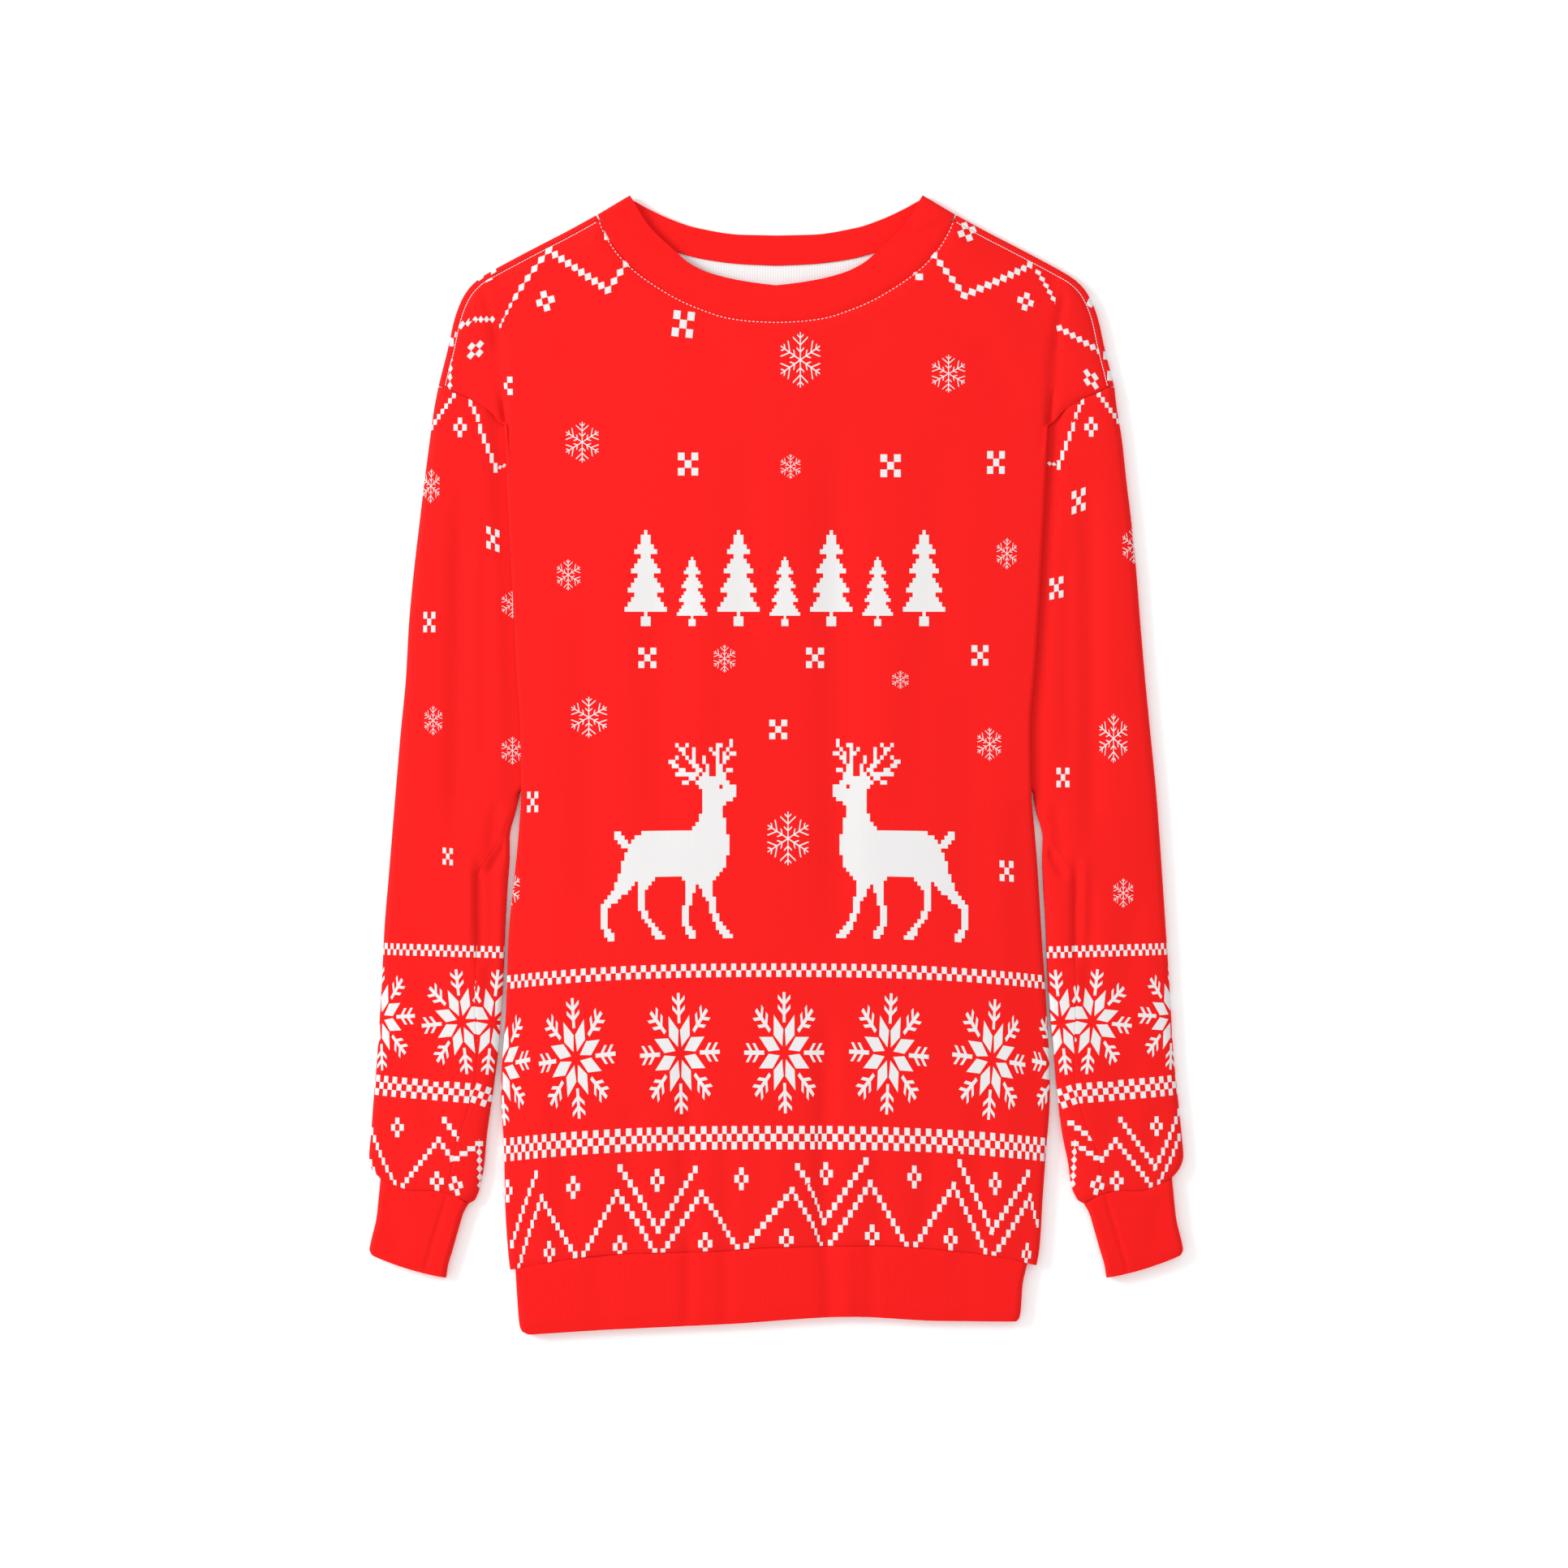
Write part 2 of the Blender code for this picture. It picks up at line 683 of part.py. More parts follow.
def flat_ring(left, right, top, roll, steps):
    """A flattened ring's section, from its left side over the top and back underneath."""
    count = steps + 1
    ring = [arc(left + roll, top / 2, roll, top / 2, 180, 90, BAND_ENDS // 2 + 1)]
    ring.append(np.linspace((left + roll, top), (right - roll, top), count)[1:])
    ring.append(arc(right - roll, top / 2, roll, top / 2, 90, -90, BAND_ENDS + 1)[1:])
    ring.append(np.linspace((right - roll, 0), (left + roll, 0), count)[1:])
    ring.append(arc(left + roll, top / 2, roll, top / 2, 270, 180, BAND_ENDS // 2 + 1)[1:])
    return np.vstack(ring)


def waistband_rows():
    rows = []
    for down in BAND_SHARES:
        left = -curve(WAIST_SIDES["down"], WAIST_SIDES["left"], down)
        right = curve(WAIST_SIDES["down"], WAIST_SIDES["right"], down)
        top = BAND_TOP - BAND_FALL * ease((down - 0.8) / 0.25)
        row = []
        for x, z in flat_ring(left, right, top, BAND_ROLL, BAND_TOPS):
            high = hem(x) - SEAM / 2
            low = curve(WAIST_FOOT["across"], WAIST_FOOT["level"], x)
            row.append((x, high + (low - high) * down, z))
        rows.append(row)
    return rows


def cuff_rows(side):
    rows = []
    for down in BAND_SHARES:
        outer, outer_level, inner, inner_level = (
            curve(CUFF["down"], CUFF[name], down)
            for name in ("outer", "outer_level", "inner", "inner_level"))
        top = BAND_TOP - BAND_FALL * ease((down - 0.8) / 0.25)
        row = []
        for out, z in flat_ring(inner, outer, top, BAND_ROLL, BAND_TOPS // 2):
            across = (outer - out) / (outer - inner)
            seam = (outer_level - inner_level) * curve(CUFF_SEAM["across"], CUFF_SEAM["fall"],
                                                       across)
            straight = (outer_level - inner_level) * across
            fall = seam + (straight - seam) * down
            sag = CUFF_SAG * down * 4 * across * (1 - across)
            row.append((SIDES[side] * out, outer_level - SEAM - fall - sag, z))
        rows.append(row if side == "right" else row[::-1])
    return rows


def neckband_rows():
    """The neckband's rings, from its seam in to its folded edge."""
    fold_steps = 6
    pairs = ((fine(NECK_FRONT_SEAM), fine(NECK_FRONT_EDGE)),
             (fine(NECK_BACK_SEAM), fine(NECK_BACK_EDGE)))
    front, back = ([moved(seam, -SEAM / 2), lip] for seam, lip in pairs)
    rows = []
    for share in (0, 0.35, 0.75, 1):
        row = []
        halves = []
        for seam, lip in (front, back):
            steps = np.linspace(0, 1, NECK_STEPS + 1)
            halves.append(along(seam, steps) * (1 - share) + along(lip, steps) * share)
        top = NECK_TOP - LIP_FALL * ease((share - 0.6) / 0.4)
        for x, y in halves[0][::-1]:
            row.append((-x, y, top))
        for x, y in halves[0][1:]:
            row.append((x, y, top))
        fold = halves[0][-1]
        for step in range(1, fold_steps + 1):
            turn = math.pi * step / fold_steps
            out = NECK_ROLL * math.sin(turn)
            row.append((fold[0] + NECK_FOLD.x * out, fold[1] + NECK_FOLD.y * out,
                        top / 2 * (1 + math.cos(turn))))
        for x, y in halves[1][-2::-1]:
            row.append((x, y, 0))
        for x, y in halves[1][1:]:
            row.append((-x, y, 0))
        for step in range(1, fold_steps + 1):
            turn = math.pi * (1 - step / fold_steps)
            out = NECK_ROLL * math.sin(turn)
            row.append((-fold[0] - NECK_FOLD.x * out, fold[1] + NECK_FOLD.y * out,
                        top / 2 * (1 + math.cos(turn))))
        rows.append(row)
    return rows


cloth("front_panel", front_rows(), CLOTH, RED)
cloth("back_panel", back_rows(), CLOTH, RED)
for side in SIDES:
    cloth(f"{side}_sleeve", sleeve_rows(side), CLOTH, RED)
    cloth(f"{side}_cuff", cuff_rows(side), RIB, RIB_RED, ring=True)
cloth("waistband", waistband_rows(), RIB, RIB_RED, ring=True)
cloth("neckband", neckband_rows(), NECK_RIB, RIB_RED, ring=True)
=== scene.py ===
# %% [markdown]
# # A printed crew-neck sweatshirt, laid flat
#
# The garment is a winter sweatshirt in fleece-backed jersey: a front, a back, two sleeves,
# and a ribbed neckband, waistband and pair of cuffs. It lies on its back on a pale table.
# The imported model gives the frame: every piece below stands for one of its solids, and
# follows the same named sizes, only with a finer mesh, a print, seams and stitches.
#
# Lengths in the tables are millimetres. The origin lies on the table under the middle of
# the garment, +Y is towards the neck and +Z is up. "Out" is the distance from the centre
# line, and "level" is the distance above the middle of the garment, along Y.

import math
from functools import partialmethod

import bmesh
import bpy
import numpy as np
from mathutils import Matrix, Vector, kdtree
from mathutils.bvhtree import BVHTree


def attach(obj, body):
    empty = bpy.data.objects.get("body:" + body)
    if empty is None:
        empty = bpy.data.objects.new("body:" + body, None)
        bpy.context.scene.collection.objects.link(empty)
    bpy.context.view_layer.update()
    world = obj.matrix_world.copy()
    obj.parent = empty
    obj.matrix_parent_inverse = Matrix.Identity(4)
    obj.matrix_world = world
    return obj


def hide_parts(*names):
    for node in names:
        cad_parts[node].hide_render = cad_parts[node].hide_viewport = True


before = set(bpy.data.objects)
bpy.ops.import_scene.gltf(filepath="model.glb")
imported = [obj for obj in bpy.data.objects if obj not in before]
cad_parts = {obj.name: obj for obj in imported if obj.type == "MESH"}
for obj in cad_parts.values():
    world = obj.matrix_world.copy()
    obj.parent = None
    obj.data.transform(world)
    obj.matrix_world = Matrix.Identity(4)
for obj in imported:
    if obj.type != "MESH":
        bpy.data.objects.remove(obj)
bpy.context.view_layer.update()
MM = 0.001
print("the packed model holds", ", ".join(sorted(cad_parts)))

# %% [markdown]
# ## Sizes
#
# A flat garment is only a few millimetres high: two layers of cloth, rolled over at the
# sides where the tube was pressed flat. A tailor would think of it as outlines plus a few
# thicknesses, so these are the thicknesses, the radii of the rolled edges, and the levels
# where one way of lying goes over into another.

# %% Thicknesses, rolls and levels
# Driving sizes.
CLOTH = 2.0         # fleece-backed jersey
RIB = 2.6           # doubled rib of the waistband and cuffs
NECK_RIB = 3.0      # doubled rib of the neckband
SEAM = 0.06         # what two pieces that are sewn together stand apart
BODY_TOP = 7.6      # height of the front where the two layers lie on each other
SIDE_TOP = 6.4      # height of the front's rolled sides
SIDE_ROLL = 3.2     # radius of those sides
LAP_ROLL = 2.6      # radius of the front's edge where it lies over a sleeve
LAP_SWEEP = 70      # degrees that this edge turns down
SHOULDER_ROLL = 3.0  # radius of the back where it comes over the shoulder
SHOULDER_INSET = 3.8  # from the shoulder's outline in to its seam
SLEEVE_ROLL = 3.0   # radius of a sleeve's folded edges
SLEEVE_DOME = 1.4   # how far a sleeve's middle rises above its edges
PRESSED = 4.6       # height of a sleeve where the front lies over it
UNDER_LAP = 6.0     # how far a sleeve reaches under the front
BAND_TOP = 7.0      # height of the waistband and cuffs
BAND_ROLL = 3.4     # radius of their folded sides
NECK_TOP = 7.0      # height of the neckband's front half
UNDERARM = -17.0    # level where a sleeve leaves the body
SIDE_BLEND = 14.0   # below the underarm, where the front's side turns from a lap into a roll
SIDE_SLOPE = 25.0   # how far in from a rolled side the front reaches its full height
HEM_BLEND = -240.0  # level below which the rows take the hem's curve
SHOULDER_FALL = 1.5  # how much the front falls towards the shoulders
NECK_FALL = 0.5     # how much it falls towards its upper edge
LAP_LEDGE = 1.2     # how much it drops beside the end of its lap
CAP_SWELL = 0.9     # how far the shoulder swells between the fold and the armhole
CAP_SEAM = 6.0      # height of the front at the armhole and shoulder seams
PRESS_BLEND = 18.0  # above the armpit, where a sleeve gets pressed flat by the front
BAND_FALL = 0.9     # how much the waistband and cuffs thin out towards their folded edge
LIP_FALL = 0.5      # the same for the neckband
LAP_FOOT = 208.5    # level where the armhole seam goes in under the front

# %% [markdown]
# ## Outlines
#
# A pattern cutter keeps each outline as a few measured points and draws a smooth curve
# through them. Here each outline is a short table with named columns. The first ones are
# the body: its folded sides, where the side seams run underneath, and its hem.

# %% Outline of the body
def table(columns, rows):
    """Names the columns of a short table."""
    return dict(zip(columns.split(), np.array(rows, float).T))


# The front's folded edges, from the hem up to the shoulders.
BODY = table("level left right", [
    (-308, 162, 157),
    (-286, 165, 162),
    (-262, 167, 164),
    (-239, 167.5, 166),
    (-200, 169.5, 168.5),
    (-152, 166.5, 166.5),
    (-108, 165, 163.5),
    (-67, 161, 161),
    (-47, 159, 159.5),
    (-17, 157, 157),
    (21, 157.5, 156.5),
    (61, 160, 159.5),
    (100, 162, 162),
    (138, 164, 164),
    (185, 166.5, 166.5),
    (208, 168, 168),
    (231, 169, 169),
    (261, 171.5, 171.5),
    (302, 173, 173),
])

# How far in from the edge the side seam runs underneath, and a little at the armpit.
SIDE_SEAM = table("level inset", [
    (-320, 15.6),
    (-40, 15.6),
    (-29, 3.8),
    (-23, 3.7),
    (-17, 3),
])

# Where the body meets the waistband.
HEM = table("across level", [
    (-165, -311),
    (-132, -304.5),
    (-93, -300.5),
    (-40, -299),
    (0, -296.5),
    (61, -295.5),
    (107, -298.5),
    (135, -302),
    (160, -308),
])

HEM_TOP = -295.5

# The waistband's lower edge and its sides, which are shares of the way down.
WAIST_FOOT = table("across level", [
    (-160, -351),
    (-105, -347.5),
    (-31, -344),
    (47, -339.5),
    (100, -342),
    (155, -342.5),
])
WAIST_SIDES = table("down left right", [
    (0, 160.5, 154.5),
    (0.4, 159.5, 151.5),
    (0.85, 158, 150.3),
    (0.95, 156.5, 149.5),
    (1, 153, 148),
])

# %% [markdown]
# A sleeve is a tube pressed flat, so it has two folded edges. Its underarm seam has been
# turned to the front and wanders over the lower half, and the armhole seam runs across
# the top as a shallow curve.

# %% Outline of the sleeves and cuffs
# A sleeve's outer and inner folded edges.
SLEEVE_OUTER = table("level left right", [
    (-254, 244, 243.5),
    (-249, 249, 248),
    (-241, 250.5, 250.5),
    (-229, 249.5, 249.5),
    (-209, 248, 247.5),
    (-179, 245.5, 244.5),
    (-129, 242.5, 241.5),
    (-99, 241, 239.5),
    (-69, 238.5, 237.5),
    (-20, 234.5, 234),
    (21, 231, 230),
    (52, 228, 227),
    (87, 226, 224),
    (119, 223, 221.5),
    (149, 219.5, 218.5),
    (174, 216.5, 215.5),
    (201, 213, 212.5),
    (219, 210.5, 209.5),
    (232, 208, 208),
])
SLEEVE_INNER = table("level left right", [
    (-270, 189, 189),
    (-268, 185.5, 185.5),
    (-259, 182, 181.5),
    (-245, 179.5, 179.5),
    (-228, 178, 176),
    (-200, 174, 172.5),
    (-171, 170.5, 170),
    (-157, 169.5, 168.5),
    (-129, 167.7, 166.7),
    (-97, 166.5, 165.5),
    (-72, 165, 164),
    (-57, 164, 163.5),
    (-45, 164, 163.8),
    (-28, 160, 159.5),
    (-17, 157.7, 157.7),
])

# The underarm seam, which runs from the armpit out over the sleeve's front: its distance
# from the middle of the folded edge, measured along the cloth.
UNDERARM_SEAM = table("level along_cloth", [
    (-270, 19.5),
    (-247, 20.5),
    (-228, 17.5),
    (-210, 15),
    (-192, 13.5),
    (-139, 18.7),
    (-108, 19.2),
    (-68, 21.2),
    (-59, 16.7),
    (-49, 9.7),
    (-38, 5.2),
    (-24, 2.5),
    (-17, 0),
])

# The armhole seam where it shows: shares of the way from the outer edge in to the body's
# edge, and of the 24 mm that the seam falls on the way.
ARMHOLE = table("across fall", [
    (0, 0),
    (0.1, 0.03),
    (0.24, 0.15),
    (0.43, 0.27),
    (0.5, 0.33),
    (0.74, 0.56),
    (1, 0.98),
    (1.2, 1.15),
])
ARMHOLE_TOP = 232.2
ARMHOLE_FALL = 24.0
ARMHOLE_WIDTH = 40.0
BACK_ARMHOLE_FALL = 22.0

# The same for the seam between a sleeve and its cuff.
CUFF_SEAM = table("across fall", [
    (0, 0),
    (0.15, 0.22),
    (0.38, 0.46),
    (0.6, 0.46),
    (0.8, 0.62),
    (1, 1),
])
CUFF_FALL = 15.5

# The back armhole seam, hidden underneath.
BACK_ARMHOLE = table("level out", [
    (UNDERARM, 156),
    (222.5, 190.5),
    (232.2, 206),
])
BACK_BASE = 222.7   # level where the back starts to widen to the shoulders

# A cuff from its seam down: its outer and inner corners.
CUFF = table("down outer outer_level inner inner_level", [
    (0, 243.5, -254.5, 189.2, -270),
    (0.2, 244.5, -265, 192.5, -276),
    (0.45, 246, -279, 195.5, -286),
    (0.75, 249.3, -293, 199.5, -300),
    (0.9, 250.3, -298.5, 202, -308.5),
    (1, 249, -301.5, 203, -315.5),
])
CUFF_SAG = 1.6      # how far a cuff's lower edge bows below the line between its corners

# %% [markdown]
# The shoulders fall away from the neck, and the back comes over them by a few
# millimetres. The neckband is a ring whose front half lies low and whose back half lies
# high, so it has four edges.

# %% Outline of the shoulders and the neckband
# The outline of a shoulder, from the sleeve's top in to the neckband.
SHOULDER = table("out level", [
    (207.8, 232.8),
    (205.8, 241),
    (203.2, 251),
    (200.9, 261),
    (198.8, 271),
    (195.7, 281),
    (190.6, 291),
    (184, 298),
    (179.6, 301),
    (161.6, 311),
    (142.5, 321),
    (130.8, 327),
    (119.4, 333.2),
    (110.9, 337.9),
])

# The neckband's four edges, from its centre out to its fold on the shoulder.
NECK_FRONT_SEAM = table("out level", [
    (0, 272.5),
    (12, 273),
    (29, 275),
    (45, 280),
    (59, 286),
    (72, 293.5),
    (85, 302.5),
    (95, 312),
    (101, 320),
    (105.5, 328),
    (108.3, 335.2),
])
NECK_FRONT_EDGE = table("out level", [
    (0, 294.5),
    (9, 295.5),
    (25, 298),
    (42, 302.5),
    (54, 308.5),
    (62, 315.5),
    (72, 324.5),
    (79, 332),
    (88.3, 347.2),
])
NECK_BACK_SEAM = table("out level", [
    (0, 307),
    (22, 308),
    (45, 311),
    (62, 315.5),
    (78, 321.5),
    (95, 329.3),
    (108.3, 335.2),
])
NECK_BACK_EDGE = table("out level", [
    (0, 325.5),
    (22, 326),
    (49, 330.2),
    (65, 335.5),
    (79, 342),
    (88.3, 347.2),
])
NECK_FOLD = Vector((0.51, 0.86, 0))   # the way that the neckband's fold points, on the +X side
NECK_ROLL = 3.5
FOLD_SINK, FOLD_LIFT = 0.25, 0.2    # how much the neckband's halves close up towards its fold

# %% [markdown]
# ## Folds
#
# Cloth that lies flat keeps a few soft creases where it was gathered or pressed. They
# could come from a cloth simulation, but then nobody could say where they end up. Here
# each one is a trough (or, with a negative depth, a ridge) between two points, deepest in
# the middle of its run and fading out at both ends, so that they stay uneven and soft.

# %% Where the creases run
# The largest soft folds of the upper layer, as troughs between two points.
FOLDS = table("x0 y0 x1 y1 width depth", [
    (36, 235, 38, -150, 13, 1.5),
    (-74, 150, -70, -70, 14, 1.0),
    (72, 90, 66, -40, 12, -0.7),
    (-46, 120, -50, -30, 12, -0.7),
    (-20, 210, -16, 60, 12, 0.6),
    (100, 210, 98, 40, 14, 0.6),
    (-118, 120, -112, -110, 14, 0.8),
    (118, 60, 120, -120, 14, 0.8),
    (-166, 185, -169.5, 276, 2.2, 1.4),
    (-167.5, 248, -182, 297, 2.4, 1.1),
    (166.5, 185, 170.5, 264, 2.2, 1.4),
    (169.5, 248, 178, 294, 2.4, 1.1),
    (-193, 190, -197, -70, 7, 1.5),
    (192, 190, 195, -70, 7, 1.5),
    (-178, 160, -180, -20, 5, 0.7),
    (178, 160, 180, -20, 5, 0.7),
    (-183, -54, -182.5, -128, 2.6, 2.1),
    (184.5, -54, 184, -128, 2.6, 2.1),
    (-174.5, -50, -177, -170, 4.5, 1.1),
    (193, -56, 192, -170, 5, 1.0),
    (-179, -70, -163, -45, 3, 1.7),
    (165, -50, 179, -71, 3, 1.7),
    (-188.5, -52, -188, -112, 3, -0.7),
    (190, -52, 189, -112, 3, -0.7),
    (-171, -20, -176, -62, 4, 0.9),
    (171, -20, 176, -62, 4, 0.9),
    (-222, -70, -214, -160, 9, 0.7),
    (222, -70, 214, -160, 9, 0.7),
    (-222, -170, -205, -240, 9, 0.6),
    (221, -170, 204, -240, 9, 0.6),
    (-236, -205, -226, -254, 6, 0.5),
    (236, -205, 226, -254, 6, 0.5),
    (-53, -150, -56, -310, 7, 1.1),
    (-31, -220, -30, -310, 6, 0.6),
    (31, -140, 29, -312, 7, 1.4),
    (62, -225, 66, -310, 7, 0.6),
    (-88, -200, -92, -310, 8, 0.7),
    (96, -210, 92, -310, 8, 0.7),
    (-133, -200, -128, -312, 9, 0.8),
    (128, -200, 118, -312, 9, 0.7),
    (4, -225, 2, -310, 8, -0.5),
    (-53, -280, -55, -354, 4, 0.9),
    (-31, -285, -31, -354, 4, 0.6),
    (30, -275, 33, -352, 4.5, 1.0),
    (44, -288, 45, -352, 4, -0.5),
    (58, -285, 59, -352, 4, 0.6),
    (-110, -290, -106, -356, 9, 0.5),
    (112, -290, 118, -352, 9, 0.5),
    (-238, -262, -232, -306, 7, 0.5),
    (237, -262, 230, -306, 7, 0.5),
    (-150, 215, -120, 262, 12, 0.6),
    (150, 215, 122, 262, 12, 0.6),
    (-120, 300, -150, 250, 12, -0.5),
    (122, 300, 150, 250, 12, -0.5),
    (-60, 275, -20, 240, 14, 0.5),
    (66, 275, 30, 240, 14, 0.5),
])
FOLDS["run"] = np.hypot(FOLDS["x1"] - FOLDS["x0"], FOLDS["y1"] - FOLDS["y0"])


def folds(x, y):
    """How deep the soft folds are at a place."""
    x0, y0, x1, y1, width, deepest, run = FOLDS.values()
    share = ((x - x0) * (x1 - x0) + (y - y0) * (y1 - y0)) / run**2
    aside = abs((x - x0) * (y1 - y0) - (y - y0) * (x1 - x0)) / run
    ends = ease(4 * share) * ease(4 * (1 - share))
    return float(np.sum(deepest * ends * np.exp(-(aside / width)**2)))


print(len(FOLDS["x0"]), "creases")

# %% [markdown]
# ## Reading the tables
#
# A smooth curve through measured points must not swing past them, or a straight sleeve
# would get ripples. A monotone cubic does that: its slope at a point is the harmonic mean
# of the slopes on both sides, and is zero where the curve turns.

# %% Curves, soft steps and places along a line
SIDES = {"left": -1, "right": 1}


def curve(xs, ys, at):
    """Reads a smooth curve that runs through the points and never swings past them."""
    xs, ys = np.asarray(xs, float), np.asarray(ys, float)
    steps = np.diff(xs)
    slopes = np.diff(ys) / steps
    tangents = np.concatenate([slopes[:1], np.zeros(len(slopes) - 1), slopes[-1:]])
    before, after = slopes[:-1], slopes[1:]
    same_way = before * after > 0
    tangents[1:-1][same_way] = (2 * before * after / (before + after + 1e-12))[same_way]
    i = np.clip(np.searchsorted(xs, at) - 1, 0, len(xs) - 2)
    t = np.clip((at - xs[i]) / steps[i], 0, 1)
    h = steps[i]
    return ((2 * t**3 - 3 * t**2 + 1) * ys[i] + (t**3 - 2 * t**2 + t) * h * tangents[i]
            + (3 * t**2 - 2 * t**3) * ys[i + 1] + (t**3 - t**2) * h * tangents[i + 1])


def ease(value):
    """0 below 0, 1 above 1, and a soft step between."""
    value = np.clip(value, 0, 1)
    return value * value * (3 - 2 * value)


def along(points, shares):
    """Places at shares of the length of a line of points."""
    points = np.asarray(points, float)
    run = np.concatenate([[0], np.cumsum(np.linalg.norm(np.diff(points, axis=0), axis=1))])
    shares = np.asarray(shares) * run[-1]
    return np.stack([np.interp(shares, run, axis) for axis in points.T], axis=-1)


def stretch(points, start, end, count):
    """Count equal steps along part of a line of points, between two distances."""
    points = np.asarray(points, float)
    length = np.linalg.norm(np.diff(points, axis=0), axis=1).sum()
    return along(points, np.linspace(start / length, min(end / length, 1), count + 1))


def fine(points, count=80):
    """The smooth curve of an outline table, as many short steps."""
    outs, levels = points["out"], points["level"]
    steps = np.concatenate([[0], np.cumsum(np.hypot(np.diff(outs), np.diff(levels)))])
    at = np.linspace(0, steps[-1], count)
    return np.stack([curve(steps, outs, at), curve(steps, levels, at)], axis=-1)


def moved(points, by):
    """An outline moved sideways: to the right of the way it runs, seen from above."""
    way = np.gradient(points, axis=0)
    way /= np.linalg.norm(way, axis=1, keepdims=True)
    return points + by * np.stack([way[:, 1], -way[:, 0]], axis=-1)


def edge(side, level):
    """How far out the front's folded edge is."""
    return curve(BODY["level"], BODY[side], level)


def hem(x):
    return curve(HEM["across"], HEM["level"], x)


def near_hem(x, level):
    """A straight row's level, bent to the hem's curve as it comes near."""
    return level + (hem(x) - HEM_TOP) * ease((level - HEM_BLEND) / (HEM_TOP - HEM_BLEND))


def arc(middle, up, out_radius, up_radius, start, end, count):
    """Points round a rolled edge: distance out and height, between two angles in degrees."""
    angles = np.radians(np.linspace(start, end, count))
    return np.stack([middle + out_radius * np.cos(angles), up + up_radius * np.sin(angles)], -1)

# %% Outlines that two pieces share
def shoulder_line(inset):
    """A shoulder's outline moved in, from the sleeve in to the neck."""
    return moved(fine(SHOULDER), -inset)


def neckline(seam, by):
    """One half of the neck seam moved out of the neck, from the shoulder in to the centre."""
    return moved(fine(seam)[::-1], -by)


def armhole_level(out):
    """Level of the armhole seam that shows, at a distance out."""
    across = (SHOULDER["out"][0] - out) / ARMHOLE_WIDTH
    return ARMHOLE_TOP - ARMHOLE_FALL * curve(ARMHOLE["across"], ARMHOLE["fall"], across)


def back_armhole(level):
    return np.interp(level, BACK_ARMHOLE["level"], BACK_ARMHOLE["out"])

# %% [markdown]
# ## A sheet from a grid
#
# Every piece is one rectangle of cloth, pulled into shape: a grid whose vertices are put
# at the points that the outlines give. The operator makes the grid, so the faces need no
# lists, and Solidify gives it its wall inward, with a second material on the inside,
# because fleece-backed jersey is brushed and white there. A small bevel rounds the edges.
# The print needs two things from the grid: how the cloth lies before it is bent, and
# which motif each face carries. Both are kept on the mesh.

# %% Grids of points
def refined(levels, most):
    """The same levels with even steps put in, so that none is longer than most."""
    finer = [levels[0]]
    for level in levels[1:]:
        count = max(1, math.ceil(abs(level - finer[-1]) / most))
        finer += list(np.linspace(finer[-1], level, count + 1)[1:])
    return finer


def as_grid(rows):
    """Rows of points as one array. A point that is cut away becomes not-a-number."""
    return np.array([[point or (np.nan,) * 3 for point in row] for row in rows], float)

# %% From a grid to a mesh
EDGE_WIDTH, EDGE_SEGMENTS, EDGE_ANGLE = 0.2, 2, 60      # the bevel of a cut edge
SAME_PLACE = 1e-7                                       # metres between vertices that are one


def mesh_from(name, shape):
    """A mesh with the faces of a bmesh, which is freed."""
    mesh = bpy.data.meshes.new(name)
    shape.to_mesh(mesh)
    shape.free()
    return mesh


def into_scene(name, data):
    """Puts a mesh, a light or a camera into the scene."""
    made = bpy.data.objects.new(name, data)
    bpy.context.scene.collection.objects.link(made)
    return made


def sew(name, points, wall, outside, inside, cloth=None, motifs=None, places=None, ring=False):
    """A sheet through a grid of points, thickened inward and finished on both sides."""
    rows, columns = points.shape[0] - 1, points.shape[1] - 1
    sheet = bmesh.new()
    bmesh.ops.create_grid(sheet, x_segments=columns, y_segments=rows, size=0.5)
    spots = {vert: (round((vert.co.y + 0.5) * rows), round((vert.co.x + 0.5) * columns))
             for vert in sheet.verts}
    if cloth is not None:
        lie = sheet.loops.layers.uv.new("cloth")
        print_map = sheet.loops.layers.uv.new("print")
        motif = sheet.faces.layers.int.new("motif")
        for face in sheet.faces:
            at = [spots[vert] for vert in face.verts]
            j, i = min(at)[0], min(spot[1] for spot in at)
            face[motif] = int(motifs[j, i])
            for loop, (b, a) in zip(face.loops, at):
                loop[lie].uv = cloth[b, a]
                loop[print_map].uv = places[j, i, b - j, a - i]
    cut = []
    for vert, (j, i) in spots.items():
        if np.isnan(points[j, i, 0]):
            cut.append(vert)
        else:
            vert.co = Vector(points[j, i]) * MM
    bmesh.ops.delete(sheet, geom=cut, context="VERTS")
    if ring:
        bmesh.ops.remove_doubles(sheet, verts=sheet.verts, dist=SAME_PLACE)
    mesh = mesh_from(name, sheet)
    mesh.shade_smooth()
    made = into_scene(name, mesh)
    mesh.materials.append(outside)
    mesh.materials.append(inside)
    thick = made.modifiers.new("Wall", "SOLIDIFY")
    thick.thickness = wall * MM
    thick.offset = -1
    thick.material_offset = 1
    rounded = made.modifiers.new("Soft edge", "BEVEL")
    rounded.width = EDGE_WIDTH * MM
    rounded.segments = EDGE_SEGMENTS
    rounded.limit_method = "ANGLE"
    rounded.angle_limit = math.radians(EDGE_ANGLE)
    print(f"{name}: {columns} by {rows} faces")
    return made

# %% [markdown]
# ## The front
#
# The front is the largest piece. Its sides roll over and run on underneath to the side
# seams. Higher up they turn down over the sleeves instead, and the last stretch reaches
# out to the armhole and shoulder seams. The rows follow the hem at the bottom and the
# neck at the top, so that every cut edge is a row or a column of the sheet.

